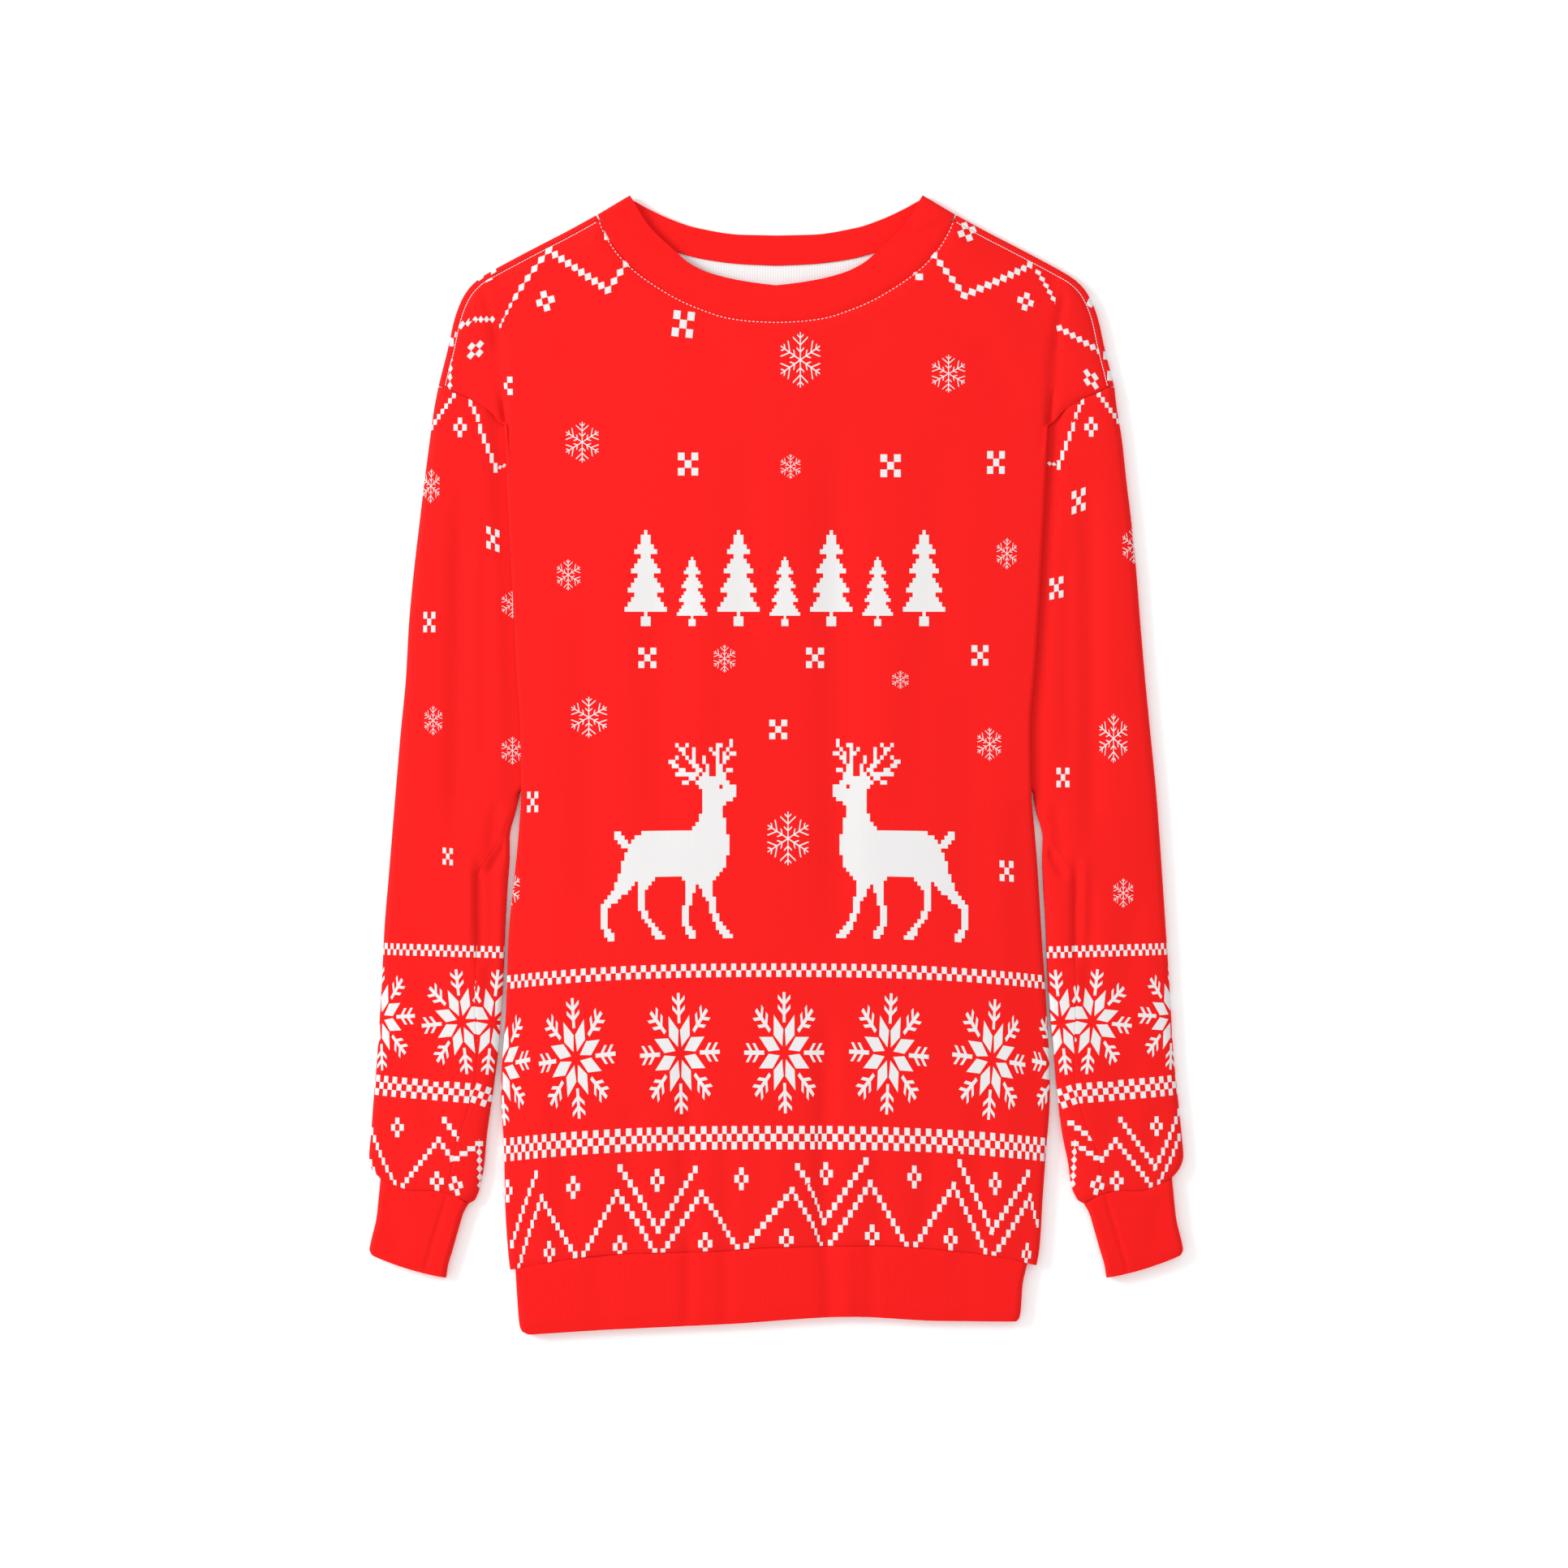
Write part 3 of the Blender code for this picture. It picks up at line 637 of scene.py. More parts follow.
# %% The front, row by row
LAP_STEPS = 12
ROLL_POINTS, SMALL_ROLL_POINTS = 25, 13     # points round a rolled edge
SHOULDER_STEPS, NECK_STEPS = 18, 48
SHOULDER_START, SHOULDER_RAMP = 95, 25      # out from the middle, where the front starts to fall
SHOULDER_EDGE, NECK_EDGE = 16, 10           # how deep a strip along its upper edge falls
FAR_BELOW = 60                              # a depth below that edge where nothing falls any more
LESS_SWEEP, LESS_FROM, LESS_OVER = 35, 170, 35   # the lap turns down less from this level on
HEM_ROWS = -250                             # rows below this level stand off the waistband
FRONT_COLUMNS = 2 * (SHOULDER_STEPS + NECK_STEPS)
FRONT_LEVELS = [HEM_TOP, -294.8, -294, -293] + refined(
    [-291.5, -240, -175, -105, -52, -31, -21, UNDERARM, 0, 85, 165, LAP_FOOT], 2.5)
CAP_LEVELS = refined([211, 218, 223, 227.5, 231.7, 240, 264, 287, 294.5], 2.5)


def body_height(x, y, below_top):
    """Height of the front's upper side, from where it is and how far below its top edge."""
    side = "left" if x < 0 else "right"
    inward = edge(side, y) - abs(x)
    rolled = (BODY_TOP - SIDE_TOP) * ease((UNDERARM - y) / SIDE_BLEND)
    height = BODY_TOP - rolled * (1 - ease((inward - SIDE_ROLL) / SIDE_SLOPE))
    sloping = ease((abs(x) - SHOULDER_START) / SHOULDER_RAMP)
    height -= SHOULDER_FALL * (1 - ease(below_top / SHOULDER_EDGE)) * sloping
    height -= NECK_FALL * (1 - ease(below_top / NECK_EDGE))
    return height - folds(x, y)


def lap(side, level):
    """The front's side from the top of its roll to its seam: distance out and height."""
    drop = ease((UNDERARM - level) / SIDE_BLEND)
    top = BODY_TOP - (BODY_TOP - SIDE_TOP) * drop
    roll = LAP_ROLL + (SIDE_ROLL - LAP_ROLL) * drop
    sweep = LAP_SWEEP - LESS_SWEEP * ease((level - LESS_FROM) / LESS_OVER)
    sweep += (180 - sweep) * drop
    middle = edge(side, level) - roll
    turned = arc(middle, top - roll, roll, roll, 90, 90 - sweep, ROLL_POINTS)
    seam = edge(side, level) - curve(SIDE_SEAM["level"], SIDE_SEAM["inset"], level) + SEAM
    if seam < turned[-1][0] and sweep > 179:
        turned = np.vstack([turned, [seam, turned[-1][1]]])
    return along(turned, np.linspace(0, 1, LAP_STEPS + 1))


def cap_edge():
    """The front's edge outside the lap: up the armhole seam, then the shoulder seam."""
    outs = np.linspace(edge("left", LAP_FOOT), SHOULDER["out"][0] - SHOULDER_INSET, 30)
    armhole = np.stack([outs, armhole_level(outs) + SEAM / 2], -1)
    shoulder = shoulder_line(SHOULDER_INSET)
    shoulder = shoulder[shoulder[:, 1] > armhole[-1][1] + 0.5]
    return armhole, shoulder


def front_rows():
    """The front's grid, from the hem up and from its left seam to its right one."""
    rows = []
    for level in FRONT_LEVELS:
        ends = {side: lap(side, level) for side in SIDES}
        xs = np.linspace(-ends["left"][0][0], ends["right"][0][0], FRONT_COLUMNS + 1)
        row = [(-out, level, height) for out, height in ends["left"][:0:-1]]
        row += [(x, level, body_height(x, level, FAR_BELOW)) for x in xs]
        row += [(out, level, height) for out, height in ends["right"][1:]]
        rows.append([(x, near_hem(x, y) + SEAM / 2 * (level < HEM_ROWS), z) for x, y, z in row])

    armhole, shoulder = cap_edge()
    corner = np.argmin(abs(shoulder[:, 1] - CAP_LEVELS[-1]))
    outer = np.vstack([armhole, shoulder[:corner + 1]])
    fold_top = shoulder[np.argmin(abs(shoulder[:, 0] - BODY["left"][-1]))]
    seam = shoulder[shoulder[:, 0] <= fold_top[0] + 0.01]
    neck = neckline(NECK_FRONT_SEAM, SEAM / 2)
    half = np.vstack([along(seam, np.linspace(0, 1, SHOULDER_STEPS + 1)),
                      along(neck, np.linspace(0, 1, NECK_STEPS + 1))[1:]])
    top = np.vstack([half * (-1, 1), half[-2::-1]])
    cap_top = shoulder[corner:len(shoulder) - len(seam) + 1]
    base = [np.array(point[:2]) for point in rows[-1][LAP_STEPS:-LAP_STEPS]]
    for level in CAP_LEVELS:
        share = (level - LAP_FOOT) / (CAP_LEVELS[-1] - LAP_FOOT)
        middle = [low + (high - low) * share for low, high in zip(base, top)]
        tops = [body_height(x, y, (1 - share) * (high[1] - low[1]))
                for (x, y), low, high in zip(middle, base, top)]
        at_seam = np.array([np.interp(level, outer[:, 1], outer[:, 0]), level])
        sides = []
        for inner, height in ((middle[0], tops[0]), (middle[-1], tops[-1])):
            sign = np.sign(inner[0])
            inner = np.abs(inner)
            side = []
            for step in range(1, LAP_STEPS + 1):
                part = step / LAP_STEPS
                out, y = inner + (at_seam - inner) * part
                if level == CAP_LEVELS[-1]:
                    out, y = along(cap_top, 1 - part)
                ledge = LAP_LEDGE * (1 - share) * ease(6 * part)
                seam_height = CAP_SEAM + 1 - ease(5 * share)
                slope = (height - ledge) + (seam_height - height + ledge) * part
                swell = CAP_SWELL * 4 * part * (1 - part) * ease(4 * share)
                side.append((out, y, slope + swell - folds(sign * out, y)))
            sides.append(side)
        left, right = sides
        rows.append([(-out, y, z) for out, y, z in left[::-1]]
                    + [(x, y, z) for (x, y), z in zip(middle, tops)]
                    + [(out, y, z) for out, y, z in right])
    return rows

# %% [markdown]
# ## The back
#
# The back lies face down. Its outer columns come over the shoulders in a small roll,
# which is why the shoulder seams show on the front of a garment like this one.

# %% The back, row by row
SHOULDER_SHARES = refined([0, 0.1, 0.2, 0.29, 0.36, 0.41, 0.46, 0.52, 0.62, 0.76, 0.9, 1], 0.035)
BACK_LEVELS = refined([HEM_TOP, -284, -240, -210, -175, -140, -105, -75, -40, -31, -26, -21,
                       UNDERARM, -8, 5, 90, 175, BACK_BASE], 3.5)
BACK_SHARES = refined([0, 0.3, 0.6, 0.85, 1.0], 0.04)[1:]   # of the way from there to the seams
ROLL_STEPS = 10
ARMPIT_GAP, ARMPIT_OVER = 1.5, 20    # how far the back holds off the armpit, and over what height


def back_edge(side, level):
    """How far out the back reaches: the side seam, then the hidden armhole seam."""
    if level > UNDERARM:
        held_back = 1 - ease((level - UNDERARM) / ARMPIT_OVER)
        return back_armhole(level) - SEAM - ARMPIT_GAP * held_back
    return edge(side, level) - curve(SIDE_SEAM["level"], SIDE_SEAM["inset"], level)


def back_rows():
    """The back's grid, from the hem up, its right edge first, so that it faces down."""
    inset = SHOULDER_INSET - 2 * SEAM
    outline = along(fine(SHOULDER), SHOULDER_SHARES)
    inner = along(shoulder_line(inset), SHOULDER_SHARES)
    outward = (outline - inner) / inset
    neck = along(neckline(NECK_BACK_SEAM, SEAM / 2), np.linspace(0, 1, NECK_STEPS + 1))[1:]
    half = np.vstack([inner, neck])
    top = np.vstack([half, half[-2::-1] * (-1, 1)])

    rows = []
    for level in BACK_LEVELS:
        xs = np.linspace(back_edge("right", level), -back_edge("left", level), len(top))
        rows.append([(x, near_hem(x, level) + SEAM / 2 * (level < HEM_ROWS), 0) for x in xs])
    base = [np.array(point[:2]) for point in rows[-1]]
    for share in BACK_SHARES:
        rows.append([(*(low + (high - low) * share), 0) for low, high in zip(base, top)])

    # Over the shoulders the cloth rolls up and forward. Along the neck it ends here.
    for step in range(1, ROLL_STEPS + 1):
        turn = math.pi * step / ROLL_STEPS
        height = SHOULDER_ROLL * (1 - math.cos(turn))
        rolled = inner + outward * inset * math.sin(turn)
        right = [(x, y, height) for x, y in rolled]
        left = [(-x, y, height) for x, y in rolled[::-1]]
        rows.append(right + [None] * (len(top) - 2 * len(rolled)) + left)
    return rows

# %% [markdown]
# ## The sleeves
#
# A sleeve is one sheet that runs round from the seam edge on its front, over the top,
# round the outer fold, back underneath, and up to the seam again. Above the armpit it is
# open, because there it reaches in under the front and joins the back.

# %% The sleeves, ring by ring
SLEEVE_LEVELS = refined([-254.5, -253.6, -252.5, -251, -246, -210, -165, -108, -68, -58, -49, -40,
                         -31, -24, UNDERARM, -12, -5, 50, 135, 208, 221, 229, 230.8, 232.15], 2.5)
SLEEVE_PARTS = (30, 8, 16, 4, 10)   # steps over the top, round, underneath, up, and to the seam
SHORT_OF_SEAM = 0.9                 # share of the lower roll used where the seam meets the armpit
PRESS_EDGE = 12                     # out from the body's edge, where a sleeve is pressed flat
TUCK_IN, TUCK_OVER = 1.5, 20        # its hidden edge under the front, and the levels it takes
RISE_FROM, RISE_OVER, RISE_BEND = 160, 72, 1.2   # how the rows take the armhole's slope
DROP_FROM, DROP_OVER = -200, 50                  # and the cuff seam's


def sleeve_row(side, level):
    """One ring of a sleeve: out, level and height from the front seam edge round to the other.

    The level is the one at the sleeve's outer edge.
    """
    rise = ARMHOLE_FALL * np.clip((level - RISE_FROM) / RISE_OVER, 0, 1)**RISE_BEND
    back_rise = BACK_ARMHOLE_FALL / ARMHOLE_FALL * rise
    drop = CUFF_FALL * ease((DROP_FROM - level) / DROP_OVER)
    outer = curve(SLEEVE_OUTER["level"], SLEEVE_OUTER[side], level)
    inner_level = level - rise - drop
    body = edge(side, inner_level)
    open_row = level > UNDERARM
    inner = body
    if not open_row:
        inner = curve(SLEEVE_INNER["level"], SLEEVE_INNER[side], inner_level)
    press = ease((level - UNDERARM + PRESS_BLEND) / PRESS_BLEND)
    small = SLEEVE_ROLL - (SLEEVE_ROLL - PRESSED / 2) * press
    width = outer - inner

    def height(out):
        across = (outer - out) / width
        dome = SLEEVE_DOME * (1 - abs(2 * np.clip(across, 0, 1) - 1)**4)
        full = 2 * SLEEVE_ROLL + (2 * small - 2 * SLEEVE_ROLL) * ease(across) + dome
        full -= folds(SIDES[side] * out, level - (rise + drop) * across)
        return full - (full - PRESSED) * press * (1 - ease((out - body) / PRESS_EDGE))

    def top(start):
        outs = np.linspace(start, outer - SLEEVE_ROLL, 40)
        return np.stack([outs, [height(out) for out in outs]], -1)

    over, round_, under, up, on = SLEEVE_PARTS
    outer_roll = arc(outer - SLEEVE_ROLL, SLEEVE_ROLL, SLEEVE_ROLL, SLEEVE_ROLL,
                     90, -90, ROLL_POINTS)
    if open_row:
        hidden = body - UNDER_LAP * ease((level - UNDERARM) / TUCK_OVER) - TUCK_IN
        back = outer
        for _ in range(8):
            back = back_armhole(level - back_rise * (outer - back) / width)
        parts = [along(top(hidden), np.linspace(0, 1, over + 1)),
                 along(outer_roll, np.linspace(0, 1, round_ + 1)),
                 np.linspace((outer - SLEEVE_ROLL, 0), (back, 0), under + up + on + 1)]
    else:
        seam = curve(UNDERARM_SEAM["level"], UNDERARM_SEAM["along_cloth"], inner_level)
        start = arc(inner + small, small, small, small, 180, 90, SMALL_ROLL_POINTS)
        start = np.vstack([start, top(inner + small)[1:]])
        length = np.linalg.norm(np.diff(start, axis=0), axis=1).sum()
        lower = arc(inner + small, small, small, small, 270, 180, SMALL_ROLL_POINTS)
        flat = np.linspace((outer - SLEEVE_ROLL, 0), (inner + small, 0), under + 1)
        parts = [stretch(start, seam + SEAM / 2, length, over),
                 along(outer_roll, np.linspace(0, 1, round_ + 1)),
                 flat,
                 along(lower, np.linspace(0, 1, up + 1)),
                 stretch(start, 0, max(seam - SEAM / 2, 0.05), on)]
        if seam < SEAM:
            rest = along(lower[:-1], np.linspace(0, SHORT_OF_SEAM, up + on + 1))
            parts[-2:] = rest[:up + 1], rest[up:]
    points = np.vstack([parts[0]] + [part[1:] for part in parts[1:]])
    row = []
    for step, (out, up_to) in enumerate(points):
        across = (outer - out) / width
        fall = rise * curve(ARMHOLE["across"], ARMHOLE["fall"], across)
        if step > over + round_ / 2:
            fall = back_rise * max(across, 0)
        fall += drop * curve(CUFF_SEAM["across"], CUFF_SEAM["fall"], across)
        row.append((SIDES[side] * out, level - fall, up_to))
    return row


def sleeve_rows(side):
    """A sleeve's grid from the cuff up, turned so that it faces out on either side."""
    rows = [sleeve_row(side, level) for level in SLEEVE_LEVELS]
    return [row[::-1] for row in rows] if side == "left" else rows

# %% [markdown]
# ## Waistband, cuffs and neckband
#
# Ribbed bands are cut double, sewn to a ring and folded along the middle, so their lower
# edge is a soft fold and not a raw edge. Flat on the table such a ring is two layers
# that meet in tight rolls at the sides.

# %% Rings for the waistband and cuffs
BAND_TOPS, BAND_ENDS = 120, 12      # steps across the top, and round a side
THIN_FROM, THIN_OVER = 0.8, 0.25    # where a band starts to thin out, as shares of its height
BAND_SHARES = [1, 0.98, 0.95, 0.9] + refined([0.85, 0.6, 0.3, 0.06], 0.06) + [0.03, 0.015, 0]


def flat_ring(left, right, top, roll, steps):
    """A flattened ring's section, from its left side over the top and back underneath."""
    count = steps + 1
    ring = [arc(left + roll, top / 2, roll, top / 2, 180, 90, BAND_ENDS // 2 + 1)]
    ring.append(np.linspace((left + roll, top), (right - roll, top), count)[1:])
    ring.append(arc(right - roll, top / 2, roll, top / 2, 90, -90, BAND_ENDS + 1)[1:])
    ring.append(np.linspace((right - roll, 0), (left + roll, 0), count)[1:])
    ring.append(arc(left + roll, top / 2, roll, top / 2, 270, 180, BAND_ENDS // 2 + 1)[1:])
    return np.vstack(ring)


def band_top(down):
    """Height of a band, which thins out towards its folded edge."""
    return BAND_TOP - BAND_FALL * ease((down - THIN_FROM) / THIN_OVER)


def creased(x, y, z, top):
    """A place on a band, with the soft folds on its upper side."""
    return (x, y, z - folds(x, y) * (z > top / 2))


def waistband_rows():
    rows = []
    for down in BAND_SHARES:
        left = -curve(WAIST_SIDES["down"], WAIST_SIDES["left"], down)
        right = curve(WAIST_SIDES["down"], WAIST_SIDES["right"], down)
        top = band_top(down)
        row = []
        for x, z in flat_ring(left, right, top, BAND_ROLL, BAND_TOPS):
            high = hem(x) - SEAM / 2
            low = curve(WAIST_FOOT["across"], WAIST_FOOT["level"], x)
            y = high + (low - high) * down
            row.append(creased(x, y, z, top))
        rows.append(row)
    return rows


def cuff_rows(side):
    rows = []
    for down in BAND_SHARES:
        outer, outer_level, inner, inner_level = (
            curve(CUFF["down"], CUFF[name], down)
            for name in ("outer", "outer_level", "inner", "inner_level"))
        top = band_top(down)
        row = []
        for out, z in flat_ring(inner, outer, top, BAND_ROLL, BAND_TOPS // 2):
            across = (outer - out) / (outer - inner)
            seam = (outer_level - inner_level) * curve(CUFF_SEAM["across"], CUFF_SEAM["fall"],
                                                       across)
            straight = (outer_level - inner_level) * across
            fall = seam + (straight - seam) * down
            sag = CUFF_SAG * down * 4 * across * (1 - across)
            x, y = SIDES[side] * out, outer_level - SEAM - fall - sag
            row.append(creased(x, y, z, top))
        rows.append(row if side == "right" else row[::-1])
    return rows

# %% Rings for the neckband
NECK_SHARES = [0, 0.03, 0.06] + refined([0.12, 0.9], 0.08) + [0.95, 1]
LIP_FROM = 0.6                          # share of the width where it starts to thin out
CLOSING_FROM, CLOSING_OVER = 0.5, 0.3   # shares of the way to the fold, where its halves close up
FOLD_STEPS = 10


def round_fold(sign, fold, low, high, turns):
    """Round the neckband's fold on one shoulder: turn 0 is its upper half and 1 its lower one."""
    middle = (low + high) / 2
    points = []
    for turn in turns:
        out = NECK_ROLL * math.sin(math.pi * turn)
        points.append((sign * (fold[0] + NECK_FOLD.x * out), fold[1] + NECK_FOLD.y * out,
                       middle + (high - middle) * math.cos(math.pi * turn)))
    return points


def neckband_rows():
    """The neckband's rings, from its seam in to its folded edge."""
    turns = np.arange(1, FOLD_STEPS + 1) / FOLD_STEPS
    pairs = ((fine(NECK_FRONT_SEAM), fine(NECK_FRONT_EDGE)),
             (fine(NECK_BACK_SEAM), fine(NECK_BACK_EDGE)))
    front, back = ([moved(seam, -SEAM / 2), lip] for seam, lip in pairs)
    rows = []
    for share in NECK_SHARES:
        halves = []
        for seam, lip in (front, back):
            steps = np.linspace(0, 1, NECK_STEPS + 1)
            halves.append(along(seam, steps) * (1 - share) + along(lip, steps) * share)
        top = NECK_TOP - LIP_FALL * ease((share - LIP_FROM) / (1 - LIP_FROM))
        near_fold = ease((np.linspace(0, 1, NECK_STEPS + 1) - CLOSING_FROM) / CLOSING_OVER)
        tops, unders = top - FOLD_SINK * near_fold, FOLD_LIFT * near_fold
        fold = (halves[0][-1], unders[-1], tops[-1])
        row = [(-x, y, z) for (x, y), z in zip(halves[0][::-1], tops[::-1])]
        row += [(x, y, z) for (x, y), z in zip(halves[0][1:], tops[1:])]
        row += round_fold(1, *fold, turns)
        row += [(x, y, z) for (x, y), z in zip(halves[1][-2::-1], unders[-2::-1])]
        row += [(-x, y, z) for (x, y), z in zip(halves[1][1:], unders[1:])]
        row += round_fold(-1, *fold, 1 - turns)
        rows.append(row)
    return rows

# %% [markdown]
# ## Grooves along the seams
#
# Where two pieces are sewn together, the seam pulls both edges in and the cloth stands up
# again beside it. Each seam that shows is a line of points here, and every vertex on the
# upper side sinks by how near it is to the nearest one.

# %% Seam lines
GROOVE_DEPTH = 0.5
GROOVE_WIDTH = 1.7
UPPER_SIDE = 3.4    # what lies higher than this shows from above
HEM_SPAN = (-162, 158)
CUFF_CLOSING = ((201.8, -263), (215.9, -310))   # the seam that closes a cuff's ring


def mirrored(line):
    return np.vstack([line, line * (-1, 1)])


def seam_lines():
    """Points along every seam that shows, a millimetre or so apart."""
    across = np.linspace(*HEM_SPAN, 320)
    lines = [np.stack([across, hem(across)], -1),
             mirrored(along(fine(NECK_FRONT_SEAM), np.linspace(0, 1, 160))),
             mirrored(along(fine(NECK_BACK_SEAM), np.linspace(0, 1, 140))),
             mirrored(along(shoulder_line(SHOULDER_INSET), np.linspace(0, 1, 160)))]
    outs = np.linspace(edge("left", LAP_FOOT), SHOULDER["out"][0], 50)
    lines.append(mirrored(np.stack([outs, armhole_level(outs)], -1)))
    for side, sign in SIDES.items():
        share = np.linspace(0, 1, 60)
        fall = (CUFF["outer_level"][0] - CUFF["inner_level"][0]) * curve(
            CUFF_SEAM["across"], CUFF_SEAM["fall"], share)
        out = CUFF["outer"][0] + (CUFF["inner"][0] - CUFF["outer"][0]) * share
        lines.append(np.stack([sign * out, CUFF["outer_level"][0] - fall], -1))
        lines.append(np.linspace(*(np.array(end) * (sign, 1) for end in CUFF_CLOSING), 60))
    return np.vstack(lines)

# %% Sink the cloth into its seams
line = seam_lines()
seam_tree = kdtree.KDTree(len(line))
for index, (x, y) in enumerate(line):
    seam_tree.insert((x, y, 0), index)
seam_tree.balance()


def sunk(points):
    """The same grid with its upper side drawn down beside every seam."""
    for point in points.reshape(-1, 3):
        if point[2] > UPPER_SIDE:
            distance = seam_tree.find((point[0], point[1], 0))[2]
            point[2] -= GROOVE_DEPTH * math.exp(-(distance / GROOVE_WIDTH)**2)
    return points


print(len(line), "points along the seams")

# %% [markdown]
# ## How the cloth lies
#
# The print was made on flat cloth, and then the cloth was worn, washed and laid down. At
# the sides it turns away, so the print gets narrower there and hangs a little lower, and
# near the waistband it is gathered into small tucks. To print it right, each vertex is
# given the place where it was on the flat cloth: its "u" across and its "v" along.

# %% Places on the flat cloth
SIDE_SQUEEZE, SIDE_SQUEEZE_WIDTH = 0.56, 39.0       # more cloth per mm at the body's fold
SLEEVE_SQUEEZE, SLEEVE_SQUEEZE_WIDTH = 0.4, 20.0    # and at a sleeve's outer fold
PRINT_SAG = 7.5                                     # how much lower the print hangs there
SAG_REACH, SAG_BEND = 165, 2.6                      # out to where, and how steeply
SAG_FROM, SAG_OVER = 20, 140                        # and from which level down
TUCKS = table("across width depth", [(25.3, 7, 3.6), (-31.8, 8, 1.5), (-79, 8, 1.5)])
TUCK_SPREAD, TUCKS_FROM, TUCKS_OVER = 80.0, -179, 40


def sag(x, level):
    """How far below its flat level the body's print hangs."""
    return PRINT_SAG * (abs(x) / SAG_REACH)**SAG_BEND * ease((SAG_FROM - level) / SAG_OVER)


def squeezed(x, folded, rate, width):
    """Distance across the flat cloth, with the extra cloth that turns away at a fold."""
    near = np.clip(1 - (folded - abs(x)) / width, 0, 1)
    return x + np.sign(x) * rate / 2 * width * near**2


def lie_of_body(points):
    x, y = points[..., 0], points[..., 1]
    folded = np.where(x < 0, edge("left", y), edge("right", y))
    across = squeezed(x, folded, SIDE_SQUEEZE, SIDE_SQUEEZE_WIDTH)
    for middle, width, depth in zip(*TUCKS.values()):
        away = x - middle
        gathered = ease(away / width + 0.5) - 0.5 - np.clip(away / TUCK_SPREAD, -0.5, 0.5)
        across += depth * gathered * ease((TUCKS_FROM - y) / TUCKS_OVER)
    return np.stack([across, y + sag(x, y)], axis=-1)


def lie_of_sleeve(points, side):
    x, y = points[..., 0], points[..., 1]
    folded = curve(SLEEVE_OUTER["level"], SLEEVE_OUTER[side], y)
    return np.stack([squeezed(x, folded, SLEEVE_SQUEEZE, SLEEVE_SQUEEZE_WIDTH), y], axis=-1)


def lie_of_band(points):
    """Along a ring and across it, so that the ribs run straight across."""
    middle = points[len(points) // 2]
    along_it = np.concatenate([[0], np.cumsum(np.linalg.norm(np.diff(middle, axis=0), axis=1))])
    down = np.linalg.norm(np.diff(points, axis=0), axis=2).cumsum(axis=0)
    down = np.vstack([np.zeros(points.shape[1]), down])
    return np.stack([np.broadcast_to(along_it, down.shape), down], axis=-1)


def round_the_fold(points, flat, first, way):
    """Runs the flat cloth on round a rolled edge, from one column to the last one."""
    steps = np.linalg.norm(np.diff(points[:, first:], axis=1), axis=2)
    flat[:, first + 1:, 0] = flat[:, first:first + 1, 0] + way * np.cumsum(steps, axis=1)
    return flat

# %% [markdown]
# ## The motifs
#
# The print is an all-over winter pattern: checks, diamonds, snow crystals, stars, a pair
# of deer, a row of fir trees, rows of squares and a zigzag. A decal would slide off the
# folds, and separate raised shapes would be wrong, because ink isn't raised. So each motif
# is a small patch of coordinates: every face takes the nearest motif's code, and its
# corners' places in that motif go in a UV map. The material then draws the motif from
# those places alone.

# %% Codes and patches
STAR, CRYSTAL, CHECK, DIAMOND, DEER, FIR, TWO_ROWS, THREE_ROWS, CHAIN = 1, 2, 3, 4, 5, 6, 7, 8, 10
SPILL = 1.6         # how far outside a motif the middle of a face that it reaches can be
CHAIN_SIDE, CHAIN_END = 1.35, 0.35  # the same for a chain, in its own squares
CHAIN_FARNESS = 0.6


def block(code, x, y, width, height, turn=0, low=(-1, -1), high=(1, 1), level=False, drop=0):
    """A motif that fills a rectangle: its corners get the coordinates low and high.

    Where the cloth is pulled askew, its rows drop by a share of the way to the right.
    """
    return {"code": code, "ends": [(x, y, level)], "size": np.array((width, height)),
            "turn": math.radians(turn), "low": np.array(low, float),
            "high": np.array(high, float), "drop": drop}


def chain(x0, y0, x1, y1, count, lean_x=0, lean_y=0):
    """Squares that touch at their corners, from one place to another.

    The lean is half of a square's other diagonal. Without it, the squares are upright.
    """
    return {"code": CHAIN + int(count), "ends": [(x0, y0, False), (x1, y1, False)],
            "count": count, "lean": np.array((lean_x, lean_y))}


def band(code, level, rows, across, height, tilt=0, x=0):
    """Rows of squares whose upper edge runs at a level."""
    cells = 120
    return block(code, x, level - rows * height / 2, cells * across, rows * height, tilt,
                 (-cells / 2, 0), (cells / 2, rows), level=x == 0)

# %% Where a patch lies on the flat cloth
def fit(mark, on_cloth):
    """What turns flat cloth into a motif's own coordinates: matrix, origin and base."""
    ends = [on_cloth(*end) for end in mark["ends"]]
    if "count" in mark:
        step = (ends[1] - ends[0]) / (mark["count"] - 1)
        lean = mark["lean"] if mark["lean"].any() else step / 2 * (1, -1)
        sides = np.stack([step / 2 + lean, step / 2 - lean], axis=1)
        return np.linalg.inv(sides), ends[0], np.array((0.5, 0.5))
    cos, sin = math.cos(mark["turn"]), math.sin(mark["turn"])
    scale = (mark["high"] - mark["low"]) / mark["size"]
    turned = np.array([[cos, sin], [-sin + mark["drop"] * cos, cos + mark["drop"] * sin]])
    return scale[:, None] * turned, ends[0], (mark["low"] + mark["high"]) / 2


